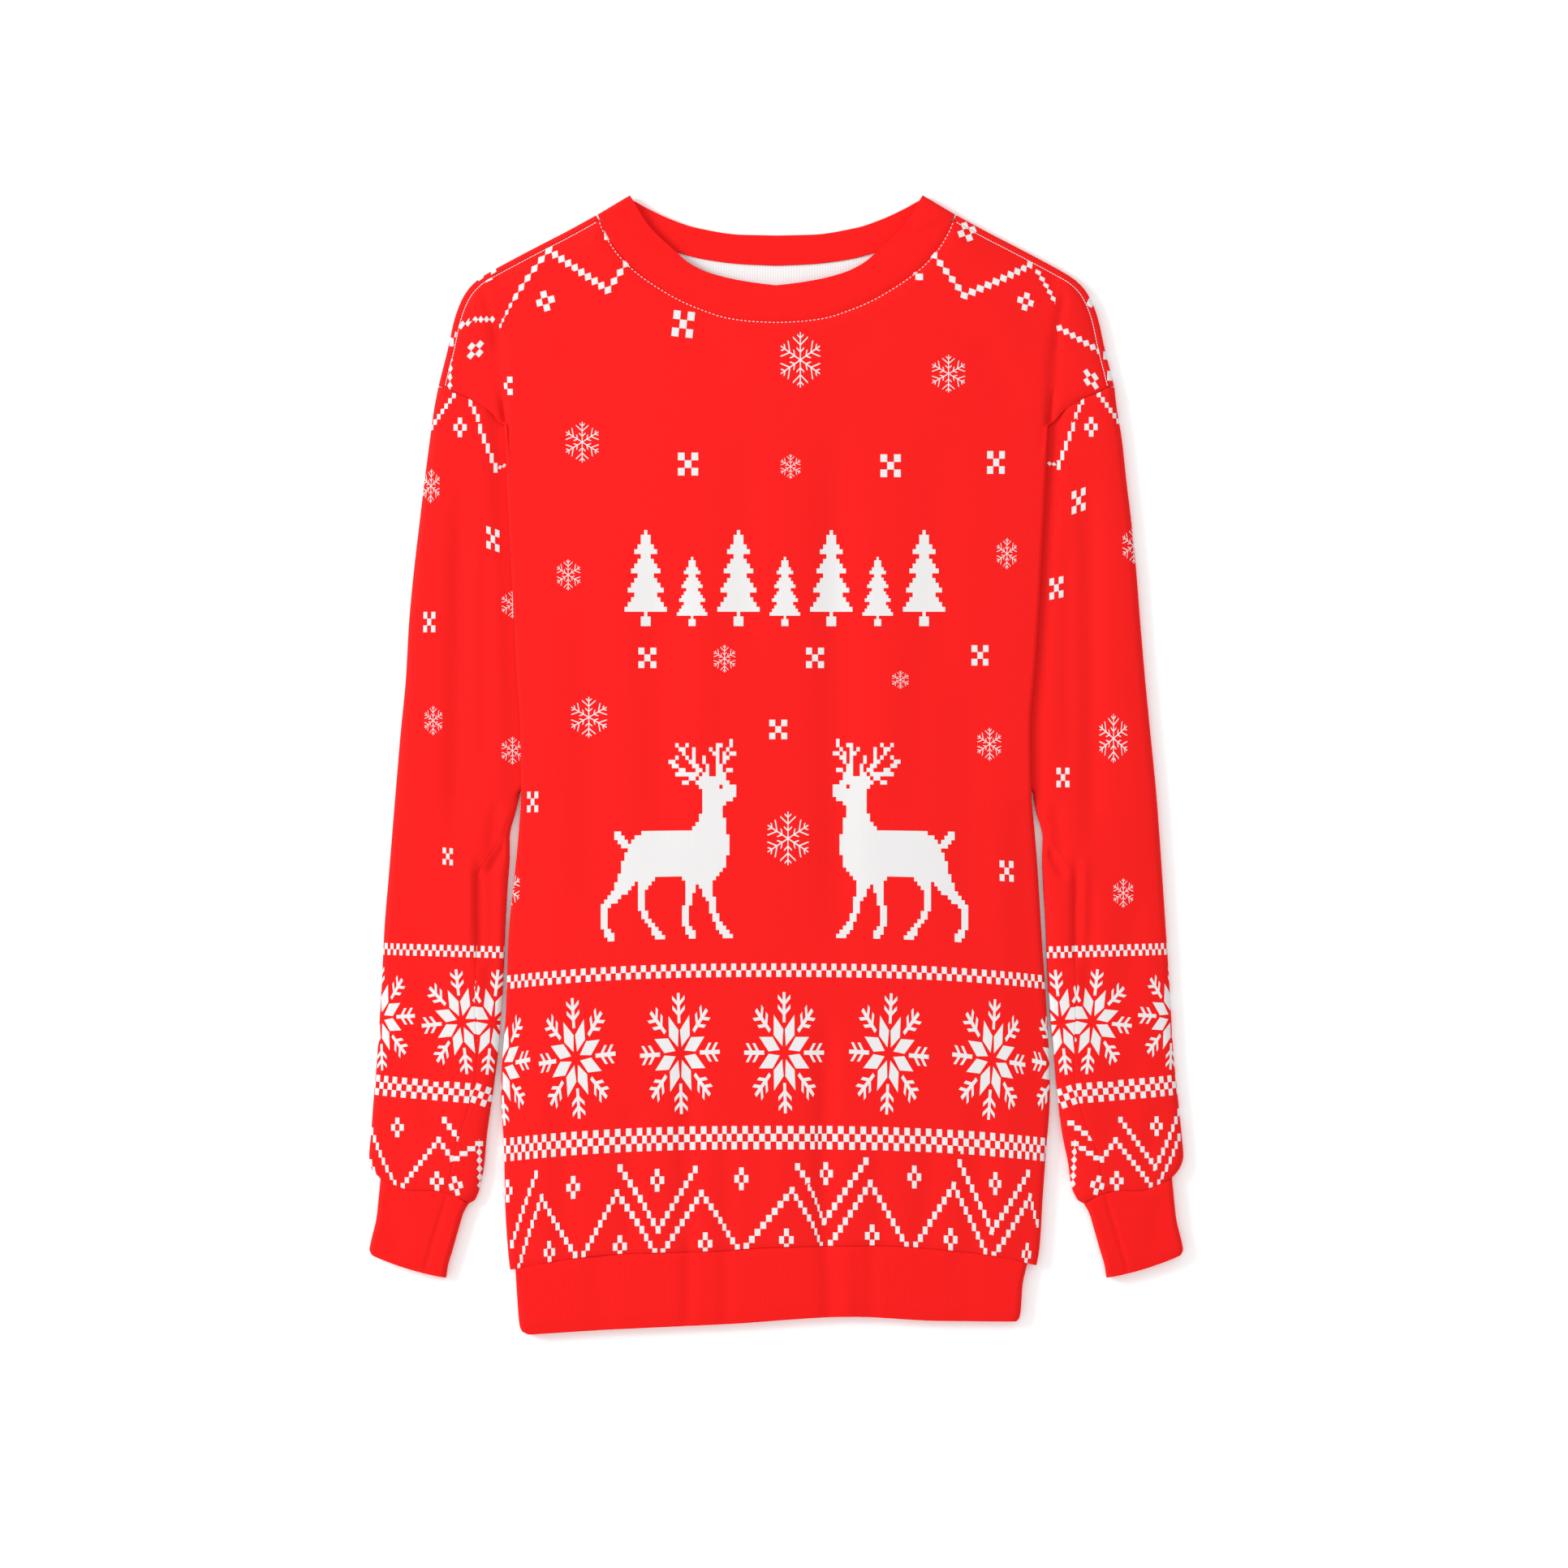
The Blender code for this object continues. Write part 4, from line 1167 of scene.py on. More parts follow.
def farness(mark, local):
    """0 in the middle of a motif, 1 at its edge, and infinite where it doesn't reach."""
    if "count" in mark:
        across = abs(local[..., 0] - local[..., 1])
        run = local.mean(axis=-1)
        reached = (across < CHAIN_SIDE) & (run > -CHAIN_END) & (run < mark["count"] + CHAIN_END)
        return np.where(reached, CHAIN_FARNESS * across, np.inf)
    part = abs(local - (mark["low"] + mark["high"]) / 2) * 2 / abs(mark["high"] - mark["low"])
    reached = ((part - 1) * mark["size"] / 2 < SPILL).all(axis=-1)
    return np.where(reached, part.max(axis=-1), np.inf)


def stamp(points, layers):
    """The motif of every face, and the places of its corners in that motif.

    A layer is a part of the sheet with its own way of lying: the flat cloth, the blocks of
    faces that belong to it, the least height that counts, and its marks.
    """
    shape = (points.shape[0] - 1, points.shape[1] - 1)
    nearest, motifs = np.full(shape, np.inf), np.zeros(shape, int)
    places = np.zeros(shape + (2, 2, 2))
    for flat, blocks, least, marks in layers:
        here = np.zeros(shape, bool)
        for rows_of_faces, columns in blocks:
            here[rows_of_faces, columns] = True
        usable = [(j, i) for j, i in zip(*np.nonzero(here)) if points[j, i, 2] >= least]
        tree = kdtree.KDTree(len(usable))
        for index, (j, i) in enumerate(usable):
            tree.insert((points[j, i, 0], points[j, i, 1], 0), index)
        tree.balance()

        def on_cloth(x, y, level):
            j, i = usable[tree.find((x, y - (sag(x, y) if level else 0), 0))[1]]
            across = flat[j, i, 0] + x - points[j, i, 0]
            return np.array((across, y if level else flat[j, i, 1] + y - points[j, i, 1]))

        corners = np.stack([flat[:-1, :-1], flat[:-1, 1:], flat[1:, :-1], flat[1:, 1:]], axis=2)
        corners = corners.reshape(*shape, 2, 2, 2)
        middles = corners.mean(axis=(2, 3))
        for mark in marks:
            matrix, origin, base = fit(mark, on_cloth)
            far = farness(mark, (middles - origin) @ matrix.T + base)
            nearer = here & (far < nearest)
            nearest[nearer], motifs[nearer] = far[nearer], mark["code"]
            places[nearer] = (corners[nearer] - origin) @ matrix.T + base
    print(f"{np.count_nonzero(motifs)} of {motifs.size} faces carry a motif")
    return motifs, places

# %% [markdown]
# The tables say where the motifs sit, and how large they are, as measured in the
# photograph. The row of fir trees is the maker's own. A check is three squares by three
# with the corners and the middle filled, and a diamond is its opposite: four squares round
# an empty middle.

# %% Motifs on the body
BODY_CHECKS = [
    (-57.2, 270.5, 13, 16, -6), (-166.6, 232.6, 14.7, 11.2), (-54.2, 184.5, 12.5, 14),
    (70.2, 183.5, 12.5, 14), (135.2, 185.5, 12, 14), (-79.2, 65.5, 11, 12.5),
    (23.8, 65.5, 11, 12.5), (125.2, 67, 11, 12.5), (1.2, 21.5, 11, 12),
    (-149.8, -23, 10, 12), (141.8, -65.5, 11, 12),
]
SHOULDER_DIAMONDS = [
    (-142, 284.6, 12.7, 12.5, 14), (152.9, 284.3, 13, 11, -13), (117.2, 327.4, 11.25, 12, 20),
]
CAP_DIAMONDS = [(-184.9, 254.8, 13, 9.3, 50), (193.4, 236.7, 8.4, 13.5, 33)]
HEM_DIAMONDS = [
    (-165.4, -262.2), (-124.8, -259.8), (-73.2, -255.4), (-21.4, -254.5), (30.4, -251.4),
    (84.8, -253.4), (134.6, -257.4), (-139.4, -299.7), (-96.1, -296.2), (-43.6, -294.4),
    (6.2, -292), (58.9, -289.6), (107.1, -291.8), (154, -300.9),
]
BODY_CRYSTALS = [
    (14.8, 248.5, 24, 34), (105.8, 240, 20, 23), (-119.2, 198, 20, 25), (8.8, 183, 12, 15),
    (-127.8, 116.5, 15, 19), (141.8, 129.5, 15, 19), (-31.8, 65, 13, 17), (76.2, 52, 10, 11),
    (-115.2, 29, 22, 25), (131.2, 12.5, 17, 20), (7.2, -45.5, 25, 33), (-165.8, -76.5, 17, 22),
]
SHOULDER_CHAINS = [
    (-103.4, 291.4, -92.2, 307.7, 4, 2.02, -1.37),
    (-103.4, 291.4, -139.8, 316, 10, -1.65, -2.61),
    (-139.8, 316, -159.9, 287.3, 6, 2.02, -1.37),
    (-162.9, 281.9, -169.6, 269.1, 4, 1.3, -0.95),
    (-103.2, 326, -98.2, 333.5, 2),
    (96.9, 312.9, 115.5, 288, 6, -2.02, -1.37),
    (115.5, 288, 156.1, 307.1, 10, 1.65, -2.61),
    (160.5, 302.4, 174.8, 282, 6, 2.7, 0.4),
    (83.2, 303.5, 87.8, 299.5, 2),
]
CAP_CHAINS = [
    (-174.5, 273.5, -184.9, 273.3, 4, 0, 2.2), (-189, 271.7, -197.6, 268.3, 3, 0.5, 2.7),
    (-200.2, 254.1, -200.6, 232.8, 5, 1.6, 0),
    (173.9, 268.2, 202.7, 251.8, 8, 1.1, 2.1),
    (204.7, 244.1, 204.1, 235.3, 3, 1.6, 0),
]
HEM_CHAINS = [
    (-158.2, -309, -144.2, -266.3, 9), (-144.2, -266.3, -123.6, -301.5, 9),
    (-118.4, -301, -97.8, -263.2, 9), (-97.8, -263.2, -74.7, -299.5, 9),
    (-69.6, -299.5, -46, -263.4, 9), (-46, -263.4, -23.9, -296.8, 9),
    (-18.4, -296, 9.5, -261.6, 9), (9.5, -261.6, 27.6, -295.5, 9),
    (33.2, -294.5, 57.7, -257.4, 9), (57.7, -257.4, 80, -295.5, 9),
    (85.6, -295.5, 109, -258.8, 9), (109, -258.8, 128.4, -299.5, 9),
    (133.8, -301.5, 155.8, -265.9, 9), (155.8, -265.9, 160.2, -281.9, 4),
    (-162.3, -294.7, -147.8, -251.9, 9), (-95.9, -248, -72.6, -285.8, 9),
    (-72.6, -285.8, -49.8, -248.8, 9), (13.1, -247.1, 19.2, -255.9, 3),
    (20.6, -259.9, 29.4, -280.8, 6), (29.4, -280.8, 55.1, -243.7, 9),
    (112.7, -245, 132.4, -286.5, 9), (132.4, -286.5, 154.8, -251.3, 9),
]
STAR_ACROSS, STAR_ALONG, STAR_LEVEL = 50.0, 76.0, -177.0
HEM_DIAMOND = (8.4, 14)
STARS = [(-169.7, 4), (-123.2, 3.4), (-59.2, 1.6), (4.8, 0), (69.2, -2.2), (132.5, -3.4), (178, -4)]
CRYSTAL_SHARE = 1.732 / 2     # a crystal with six arms is narrower than it is high


def crystals(rows):
    return [block(CRYSTAL, x, y, width / CRYSTAL_SHARE, height) for x, y, width, height in rows]


def squares(code, *place, drop=0):
    """A check or a diamond, three squares by three."""
    return block(code, *place, low=(0, 0), high=(3, 3), drop=drop)


def one_square(*place):
    return block(CHECK, *place, low=(0, 0), high=(1, 1))

# %% Bands, stars and zigzag round the body
def round_the_body():
    marks = [band(TWO_ROWS, -122.2, 2, 3.08, 4.15), band(THREE_ROWS, -222, 3, 3.3, 4.8)]
    for x, turn in STARS:
        marks.append(block(STAR, x, STAR_LEVEL, STAR_ACROSS, STAR_ALONG, turn, level=True))
    return marks

# %% The deer, the trees, and all of the body
DEER_SIZE, DEER_LEVEL = (83.2, 122.2), -45.8
FIR_SIZE, FIR_FOOT = (26.0, 59.0), 85.0
FIRS, FIRST_FIR, FIR_STEP = 7, -80.2, 28.5
SMALLER = 0.28      # every second fir is smaller by this share
body_marks = round_the_body() + crystals(BODY_CRYSTALS)
body_marks += [squares(CHECK, *row) for row in BODY_CHECKS]
body_marks += [squares(DIAMOND, *row) for row in SHOULDER_DIAMONDS]
body_marks += [squares(DIAMOND, x, y, *HEM_DIAMOND) for x, y in HEM_DIAMONDS]
body_marks += [chain(*row) for row in SHOULDER_CHAINS + HEM_CHAINS]
cap_marks = [chain(*row) for row in CAP_CHAINS]
cap_marks += [squares(DIAMOND, *row) for row in CAP_DIAMONDS]
for x, low, high in ((-66.2, (0, 48), (40, 0)), (76.3, (40, 48), (0, 0))):
    body_marks.append(block(DEER, x, DEER_LEVEL, *DEER_SIZE, low=low, high=high))
for index in range(FIRS):
    share = 1 - SMALLER * (index % 2)
    size = (FIR_SIZE[0] * share, FIR_SIZE[1] * share)
    body_marks.append(block(FIR, FIRST_FIR + FIR_STEP * index, FIR_FOOT + size[1] / 2, *size,
                            low=(0, 20), high=(13, 0)))
cap_marks.append(one_square(-177.3, 299.2, 4.8, 4.5, 25))
back_marks = body_marks + [one_square(*row) for row in (
    (-174.1, 303.9, 4.6, 4, 25), (-182.3, 299.5, 4, 3, 40), (-199.6, 259.8, 2.6, 5.5),
    (193.3, 284.1, 4, 5.5, -25), (202.8, 251.5, 3.5, 5), (205, 239, 3, 6))]

# %% Motifs on the sleeves
TWO, THREE = (2, 2.33, 3.6), (3, 3.25, 4.1)     # rows, and a square's width and height
CUFF_DIAMOND, SLEEVE_STAR = (8.4, 12), (50, 66)
LEFT_MARKS = [
    band(TWO_ROWS, -110.8, *TWO, -1.6, x=-204.5),
    band(THREE_ROWS, -193.9, *THREE, -4.8, x=-211),
    *(squares(CHECK, *row, drop=drop) for *row, drop in (
        (-174.2, 138.5, 8, 13.5, 0.35), (-213.2, 87.5, 8.5, 12.5, 0),
        (-201.8, -56.5, 6.3, 10.5, 0.1))),
    *(squares(DIAMOND, x, y, *CUFF_DIAMOND) for x, y in (
        (-194.4, 207.1), (-232.8, -223), (-208.5, -256))),
    *crystals([(-212.2, 171, 13, 21), (-210.8, 27, 11, 18), (-162.2, 98.5, 13, 17),
               (-162.2, 8.5, 13, 17)]),
    block(STAR, -193.4, -158, *SLEEVE_STAR, 6), block(STAR, -243.2, -155.7, *SLEEVE_STAR, 3),
    *(chain(*row) for row in (
        (-198.1, 226.6, -212.2, 207.2, 7), (-187.9, 222.3, -183.4, 212.9, 3),
        (-182, 206.3, -172.6, 182.4, 5), (-169.9, 182.6, -167.4, 183.7, 2, 0, 1.5),
        (-248.9, -225.5, -234.4, -257.5, 8), (-229.5, -258.9, -207.4, -230.6, 9),
        (-207.4, -230.6, -199.2, -242.1, 4), (-203.9, -218.5, -194.8, -230.5, 4),
        (-249.3, -245, -247.4, -249.6, 2))),
]
RIGHT_MARKS = [
    band(TWO_ROWS, -110.8, *TWO, 1.6, x=204),
    band(THREE_ROWS, -193.9, *THREE, 4.8, x=210.5),
    *(squares(CHECK, *row, drop=drop) for *row, drop in (
        (185.8, 162, 8.5, 14, -0.35), (172.2, 108.5, 8.5, 13, -0.2), (176.2, -8, 8, 12, 0))),
    *(squares(DIAMOND, x, y, *CUFF_DIAMOND) for x, y in (
        (193.5, 207.4), (233.8, -222.2), (209.1, -255.8))),
    *crystals([(219.8, 134.5, 17, 22), (207.2, 16, 17, 30), (213.2, -79, 12, 18)]),
    block(STAR, 194, -158, *SLEEVE_STAR, -6), block(STAR, 243.5, -155.2, *SLEEVE_STAR, -3),
    *(chain(*row) for row in (
        (198.2, 227.3, 210.4, 211.1, 6), (188.1, 223.4, 184.1, 214.1, 3),
        (182.4, 207.7, 173.6, 184.1, 5), (170.8, 184.5, 168, 185.1, 2, 0, 1.5),
        (199.9, -242.6, 208.4, -230.9, 4), (208.4, -230.9, 230.1, -258.5, 9),
        (235.1, -257.2, 247.5, -229.2, 7), (211.5, -218.3, 232.8, -247.3, 9),
        (232.8, -247.3, 247.8, -213.9, 8))),
]

# %% Motifs on the strips between the underarm seams and the folds
LEFT_STRIP_MARKS = [
    band(TWO_ROWS, -111.8, *TWO, -1.6, x=-170),
    band(THREE_ROWS, -197.5, *THREE, -20, x=-180),
    block(STAR, -174.4, -158.4, *SLEEVE_STAR, -6),
    squares(DIAMOND, -196.8, -258.9, *CUFF_DIAMOND, 12),
    chain(-196.9, -242.1, -182.6, -233, 4), chain(-182.6, -233, -182.1, -258.7, 6, 1.8, 0),
]
RIGHT_STRIP_MARKS = [
    band(TWO_ROWS, -111.8, *TWO, 1.6, x=170),
    band(THREE_ROWS, -197.5, *THREE, 20, x=180),
    block(STAR, 174.8, -158.4, *SLEEVE_STAR, 6),
    squares(DIAMOND, 197.2, -258.5, *CUFF_DIAMOND, -12),
    chain(181, -220.3, 193.6, -229.6, 4), chain(183.5, -233, 197, -241.7, 4),
    chain(183.5, -233, 182.3, -257.7, 6, 1.8, 0),
]

# %% Which marks each piece gets
SLEEVE_MARKS = {"left": (LEFT_MARKS, LEFT_STRIP_MARKS), "right": (RIGHT_MARKS, RIGHT_STRIP_MARKS)}
LOWEST = -1.0       # every height counts
EVERYWHERE = [(slice(None), slice(None))]
TOP_OF_BODY, TOP_OF_SLEEVE = 5.0, 4.2


def print_front(points):
    flat = lie_of_body(points)
    count = len(FRONT_LEVELS)
    fold = points.shape[1] - 1 - LAP_STEPS
    round_the_fold(points[:count], flat[:count], fold, 1)
    round_the_fold(points[:count, ::-1], flat[:count, ::-1], fold, -1)
    body = [(slice(0, count - 1), slice(None)), (slice(None), slice(LAP_STEPS, -LAP_STEPS))]
    caps = [(slice(count - 1, None), slice(0, LAP_STEPS)),
            (slice(count - 1, None), slice(-LAP_STEPS, None))]
    return (flat, *stamp(points, [(flat, body, TOP_OF_BODY, body_marks),
                                  (flat, caps, LOWEST, cap_marks)]))


def print_back(points):
    flat = lie_of_body(points)
    return (flat, *stamp(points, [(flat, EVERYWHERE, LOWEST, back_marks)]))


def print_sleeve(points, side):
    turned = points[:, ::-1] if side == "left" else points
    over, round_, under, up, on = SLEEVE_PARTS
    last = turned.shape[1] - 1
    ends = (over + round_ // 2, over + round_ + under + up // 2)
    flat = lie_of_sleeve(turned, side)
    wrapped = round_the_fold(turned, flat.copy(), over, SIDES[side])
    upper, strip = SLEEVE_MARKS[side]
    parts = [(wrapped, 0, ends[0], TOP_OF_SLEEVE, upper), (flat, ends[0], ends[1], LOWEST, upper),
             (flat, ends[1], last, LOWEST, strip)]
    layers = []
    for lie, start, stop, least, marks in parts:
        if side == "left":
            lie, start, stop = lie[:, ::-1], last - stop, last - start
        layers.append((lie, [(slice(None), slice(start, stop))], least, marks))
    return (layers[0][0], *stamp(points, layers))


def plain_band(points):
    rows, columns = points.shape[:2]
    return (lie_of_band(points), np.zeros((rows - 1, columns - 1), int),
            np.zeros((rows - 1, columns - 1, 2, 2, 2)))

# %% [markdown]
# ## Drawing the motifs in the material
#
# A motif is a formula on its own coordinates, and a formula in a shader is a row of Math
# nodes. Placing dozens of them one by one would be hard to read, so a small class lets
# the formulas be written as arithmetic: each sign places its node and links it. "Or" takes
# the larger of two masks and "and" multiplies them.

# %% Arithmetic that places nodes
class Signal:
    """A number that varies over the surface, as the output of a node."""

    def __init__(self, tree, socket):
        self.tree, self.socket = tree, socket

    def math(self, operation, *others):
        node = self.tree.nodes.new("ShaderNodeMath")
        node.operation = operation
        for slot, value in zip(node.inputs, (self, *others)):
            if isinstance(value, Signal):
                self.tree.links.new(value.socket, slot)
            else:
                slot.default_value = value
        return Signal(self.tree, node.outputs[0])

    def floor(self):
        return self.math("FLOOR")

    def wrap(self, step):
        return self.math("FLOORED_MODULO", step)

    def equals(self, other):
        return self.math("COMPARE", other, 0.5)

    def between(self, low, high):
        return (self > low) & (self < high)


OPERATORS = {
    "add": "ADD", "sub": "SUBTRACT", "mul": "MULTIPLY", "truediv": "DIVIDE", "abs": "ABSOLUTE",
    "lt": "LESS_THAN", "gt": "GREATER_THAN", "or": "MAXIMUM", "and": "MULTIPLY",
}
for sign, operation in OPERATORS.items():
    setattr(Signal, f"__{sign}__", partialmethod(Signal.math, operation))
print(len(OPERATORS), "signs of arithmetic place nodes")


def new_group(name, inputs, outputs):
    """A shader node group with named sockets, and its input and output nodes."""
    group = bpy.data.node_groups.new(name, "ShaderNodeTree")
    for title, kind in inputs:
        group.interface.new_socket(title, in_out="INPUT", socket_type=kind)
    for title, kind in outputs:
        group.interface.new_socket(title, in_out="OUTPUT", socket_type=kind)
    return group, group.nodes.new("NodeGroupInput"), group.nodes.new("NodeGroupOutput")

# %% [markdown]
# A snow crystal repeats one arm: folding the angle round the middle, as in a
# kaleidoscope, leaves one arm to draw. "Aside" is then the distance from the arm's middle
# line and "out" is the distance along it. A star has eight arms with two pairs of
# branches each, and a ring of eight lozenges between them. A crystal has six arms with
# three pairs of branches.

# %% Stars and crystals
# Shares of a motif's radius. A line is given by half its width.
STAR_LINE, STAR_ARM = 0.034, (0.49, 0.98)
STAR_BRANCHES, STAR_SLOPE, STAR_REACH = (0.625, 0.785), 0.8, 0.153
LOZENGE_FOOT, LOZENGE_TIP = (0.115, 0.523), (0.664, 0.415)      # place and slope
CRYSTAL_SPINE, CRYSTAL_LINE, CRYSTAL_SLOPE = 0.024, 0.032, 0.85
CRYSTAL_BRANCHES = ((0.79, 0.14), (0.54, 0.33), (0.29, 0.17))   # place and length


def one_arm(x, y, arms, first):
    """Folds the plane onto one arm: distance aside from it, along it, angle and radius."""
    step = 2 * math.pi / arms
    radius = (x * x + y * y).math("SQRT")
    angle = (y.math("ARCTAN2", x) - (first - step / 2)).wrap(step) - step / 2
    angle = abs(angle)
    return radius * angle.math("SINE"), radius * angle.math("COSINE"), angle, radius


def star_mask(x, y):
    aside, out, angle, radius = one_arm(x, y, 8, 0)
    mask = (aside < STAR_LINE) & out.between(*STAR_ARM)
    for start in STAR_BRANCHES:
        branch = abs(out - aside * STAR_SLOPE - start) < STAR_LINE
        mask = mask | (branch & (aside < STAR_REACH))
    turned = (angle - math.pi / 8) * -1
    reach, width = radius * turned.math("COSINE"), radius * turned.math("SINE")
    lozenge = width < (reach - LOZENGE_FOOT[0]) * LOZENGE_FOOT[1]
    lozenge = lozenge & (width < (reach * -1 + LOZENGE_TIP[0]) * LOZENGE_TIP[1])
    return mask | lozenge


def crystal_mask(x, y):
    aside, out, _, _ = one_arm(x, y, 6, math.pi / 2)
    mask = (aside < CRYSTAL_SPINE) & (out < 1)
    for start, length in CRYSTAL_BRANCHES:
        branch = abs(out - aside * CRYSTAL_SLOPE - start) < CRYSTAL_LINE
        mask = mask | (branch & (aside < length))
    return mask

# %% [markdown]
# Knitters draw an animal on squared paper, and so does this cell: a row of text stands for
# each row of squares. A chart's rows become the steps of a colour ramp: sixteen squares of
# a row are the sixteen binary digits of one channel, and the material reads back the digit
# of its own square.

# %% The charts
DEER_CHART = """
......................................#.
......................#..#........##..#.
.......................##..#....#.#..#..
........................#..#.....##.#.##
......................#..#.#..#...#.##..
....................##....##..#...#.#...
.....................##....##..#..##....
.......................##...##.#..##.##.
......................#######.##..###...
..........................##.########...
........................##..##########..
.............................######.####
..............................##########
..............................##########
..............................#########.
..............................#######...
..............................######....
..............................######....
.............................#######....
.............................########...
............................#########...
...........................##########...
....##......#########################...
....###...############################..
.....###.#############################..
......################################..
........##############################..
.......###############################..
.......##############################...
......###############################...
......###############################...
......##############################....
.....##############################.....
.....###########........##########......
....######.####..........########.......
....#####..###...........###.####.......
...#####...##............###..###.......
..####.....##............##...###.......
.####......##............##....###......
###........##............##.....##......
##.........##...........##......##......
##..........##..........##......##......
##..........##..........##.......##.....
##...........##.........##.......##.....
##............##........##........##....
.##............##........##.......###...
.###...........###.......###.......###..
..##............###.......##........###.
""".split()
FIR_CHART = """
......#......
.....###.....
.....###.....
....#####....
...#######...
.....###.....
....#####....
...#######...
..#########..
....#####....
...#######...
..#########..
.###########.
...#######...
..#########..
.###########.
#############
......#......
.....###.....
.....###.....
""".split()
CHART_DIGITS = 16
MOST_STEPS = 24     # rows in one ramp


def chart_ramp(tree, row, lines):
    """A ramp with one step per line of a chart, as three channels of binary digits."""
    node = tree.nodes.new("ShaderNodeValToRGB")
    ramp = node.color_ramp
    ramp.interpolation = "CONSTANT"
    while len(ramp.elements) < len(lines):
        ramp.elements.new(0.5)
    for index, line in enumerate(lines):
        ramp.elements[index].position = index / len(lines)
    for index, line in enumerate(lines):
        digits = line.ljust(3 * CHART_DIGITS, ".").replace("#", "1").replace(".", "0")
        parts = [int(digits[k * CHART_DIGITS:(k + 1) * CHART_DIGITS], 2) for k in range(3)]
        ramp.elements[index].color = (*(part / 2**CHART_DIGITS for part in parts), 1)
    tree.links.new(((row + 0.5) / len(lines)).socket, node.inputs[0])
    split = tree.nodes.new("ShaderNodeSeparateColor")
    tree.links.new(node.outputs[0], split.inputs[0])
    return [Signal(tree, channel) for channel in split.outputs]


def chart_mask(tree, x, y, lines):
    """1 where the chart has a filled square, with x to the right and y down."""
    column, row = x.floor(), y.floor()
    inside = x.between(0, len(lines[0])) & y.between(0, len(lines))
    value = None
    for start in range(0, len(lines), MOST_STEPS):
        part = lines[start:start + MOST_STEPS]
        channels = chart_ramp(tree, row - start, part)
        here = y.between(start, start + len(part))
        for index in range(math.ceil(len(part[0]) / CHART_DIGITS)):
            banked = channels[index] & here & (column / CHART_DIGITS).floor().equals(index)
            value = banked if value is None else value + banked
    place = column.wrap(CHART_DIGITS) + 1
    power = Signal(tree, tree.nodes.new("ShaderNodeMath").outputs[0])
    node = power.socket.node
    node.operation = "POWER"
    node.inputs[0].default_value = 2
    tree.links.new(place.socket, node.inputs[1])
    digit = (value * power).floor().wrap(2)
    return digit & inside

# %% [markdown]
# Checks, diamonds, rows and zigzags are all squares in two colours. In a row of squares
# the sum of the two square numbers tells the colour, and in a zigzag only the squares on
# the diagonal are filled, where both numbers are the same.

# %% The print, as one node group
print_group, given, result = new_group(
    "print", [("Place", "NodeSocketVector"), ("Motif", "NodeSocketFloat")],
    [("White", "NodeSocketFloat")])
split = print_group.nodes.new("ShaderNodeSeparateXYZ")
print_group.links.new(given.outputs["Place"], split.inputs[0])
across, along_it = (Signal(print_group, split.outputs[axis]) for axis in ("X", "Y"))
motif = Signal(print_group, given.outputs["Motif"])
odd = (across.floor() + along_it.floor()).wrap(2)
even = odd * -1 + 1
three = across.between(0, 3) & along_it.between(0, 3)
on_diagonal = across.floor().equals(along_it.floor())
masks = {
    STAR: star_mask(across, along_it),
    CRYSTAL: crystal_mask(across, along_it),
    CHECK: even & three,
    DIAMOND: odd & three,
    DEER: chart_mask(print_group, across, along_it, DEER_CHART),
    FIR: chart_mask(print_group, across, along_it, FIR_CHART),
    TWO_ROWS: even & along_it.between(0, 2),
    THREE_ROWS: even & along_it.between(0, 3),
}
white = (motif > CHAIN) & on_diagonal & (across > 0) & (across < motif - CHAIN)
for code, mask in masks.items():
    white = white | (motif.equals(code) & mask)
print_group.links.new(white.socket, result.inputs["White"])
print(len(print_group.nodes), "nodes draw the print")

# %% [markdown]
# ## Knitted surfaces
#
# Jersey is a knit of tiny columns, less than a millimetre wide. From where the camera
# stands they only soften the light, but up close they should be there, so a group gives
# their height from the place on the flat cloth, with a little fuzz over it. The same
# group makes ribs by asking for wider columns. It also gives a painted shade: the colour
# is made darker where the knit lies low, as shade in its hollows, and the fuzz adds random tone.

# %% Knit, as a node group that gives a height, and a painted shade for its hollows
LOOP_LEAN, LOOP_DEPTH = 2.5, 0.25       # how a column's loops lean, and how deep they are
FUZZ_SCALE, FUZZ_DETAIL = 1.3, 3
# How much each one darkens the colour where the knit lies low: painted shade, with random tone from
# the fuzz.
WALE_SHADE, LOOP_SHADE, FUZZ_SHADE = 0.5, 0.6, 0.7      # how much each one darkens the cloth
knit_group, given, result = new_group(
    "knit", [("Place", "NodeSocketVector"), ("Column width", "NodeSocketFloat"),
             ("Row height", "NodeSocketFloat"), ("Fuzz", "NodeSocketFloat")],
    [("Height", "NodeSocketFloat"), ("Shade", "NodeSocketFloat")])
split = knit_group.nodes.new("ShaderNodeSeparateXYZ")
knit_group.links.new(given.outputs["Place"], split.inputs[0])
across, along_it = (Signal(knit_group, split.outputs[axis]) for axis in ("X", "Y"))
column = across / Signal(knit_group, given.outputs["Column width"])
row = along_it / Signal(knit_group, given.outputs["Row height"])
wale = abs((column * math.pi).math("SINE"))
loop = (row * (2 * math.pi) + wale * LOOP_LEAN).math("SINE") * LOOP_DEPTH
fuzz = knit_group.nodes.new("ShaderNodeTexNoise")
fuzz.inputs["Scale"].default_value = FUZZ_SCALE
fuzz.inputs["Detail"].default_value = FUZZ_DETAIL
knit_group.links.new(given.outputs["Place"], fuzz.inputs["Vector"])
fuzzy = (Signal(knit_group, fuzz.outputs[0]) - 0.5) * Signal(knit_group, given.outputs["Fuzz"])
knit_group.links.new((wale + loop + fuzzy).socket, result.inputs["Height"])
# Painted shade: the colour follows the knit's height, darker in its hollows.
shading = wale * WALE_SHADE + loop * LOOP_SHADE + fuzzy * FUZZ_SHADE
knit_group.links.new(shading.socket, result.inputs["Shade"])
print(len(knit_group.nodes), "nodes draw the knit")
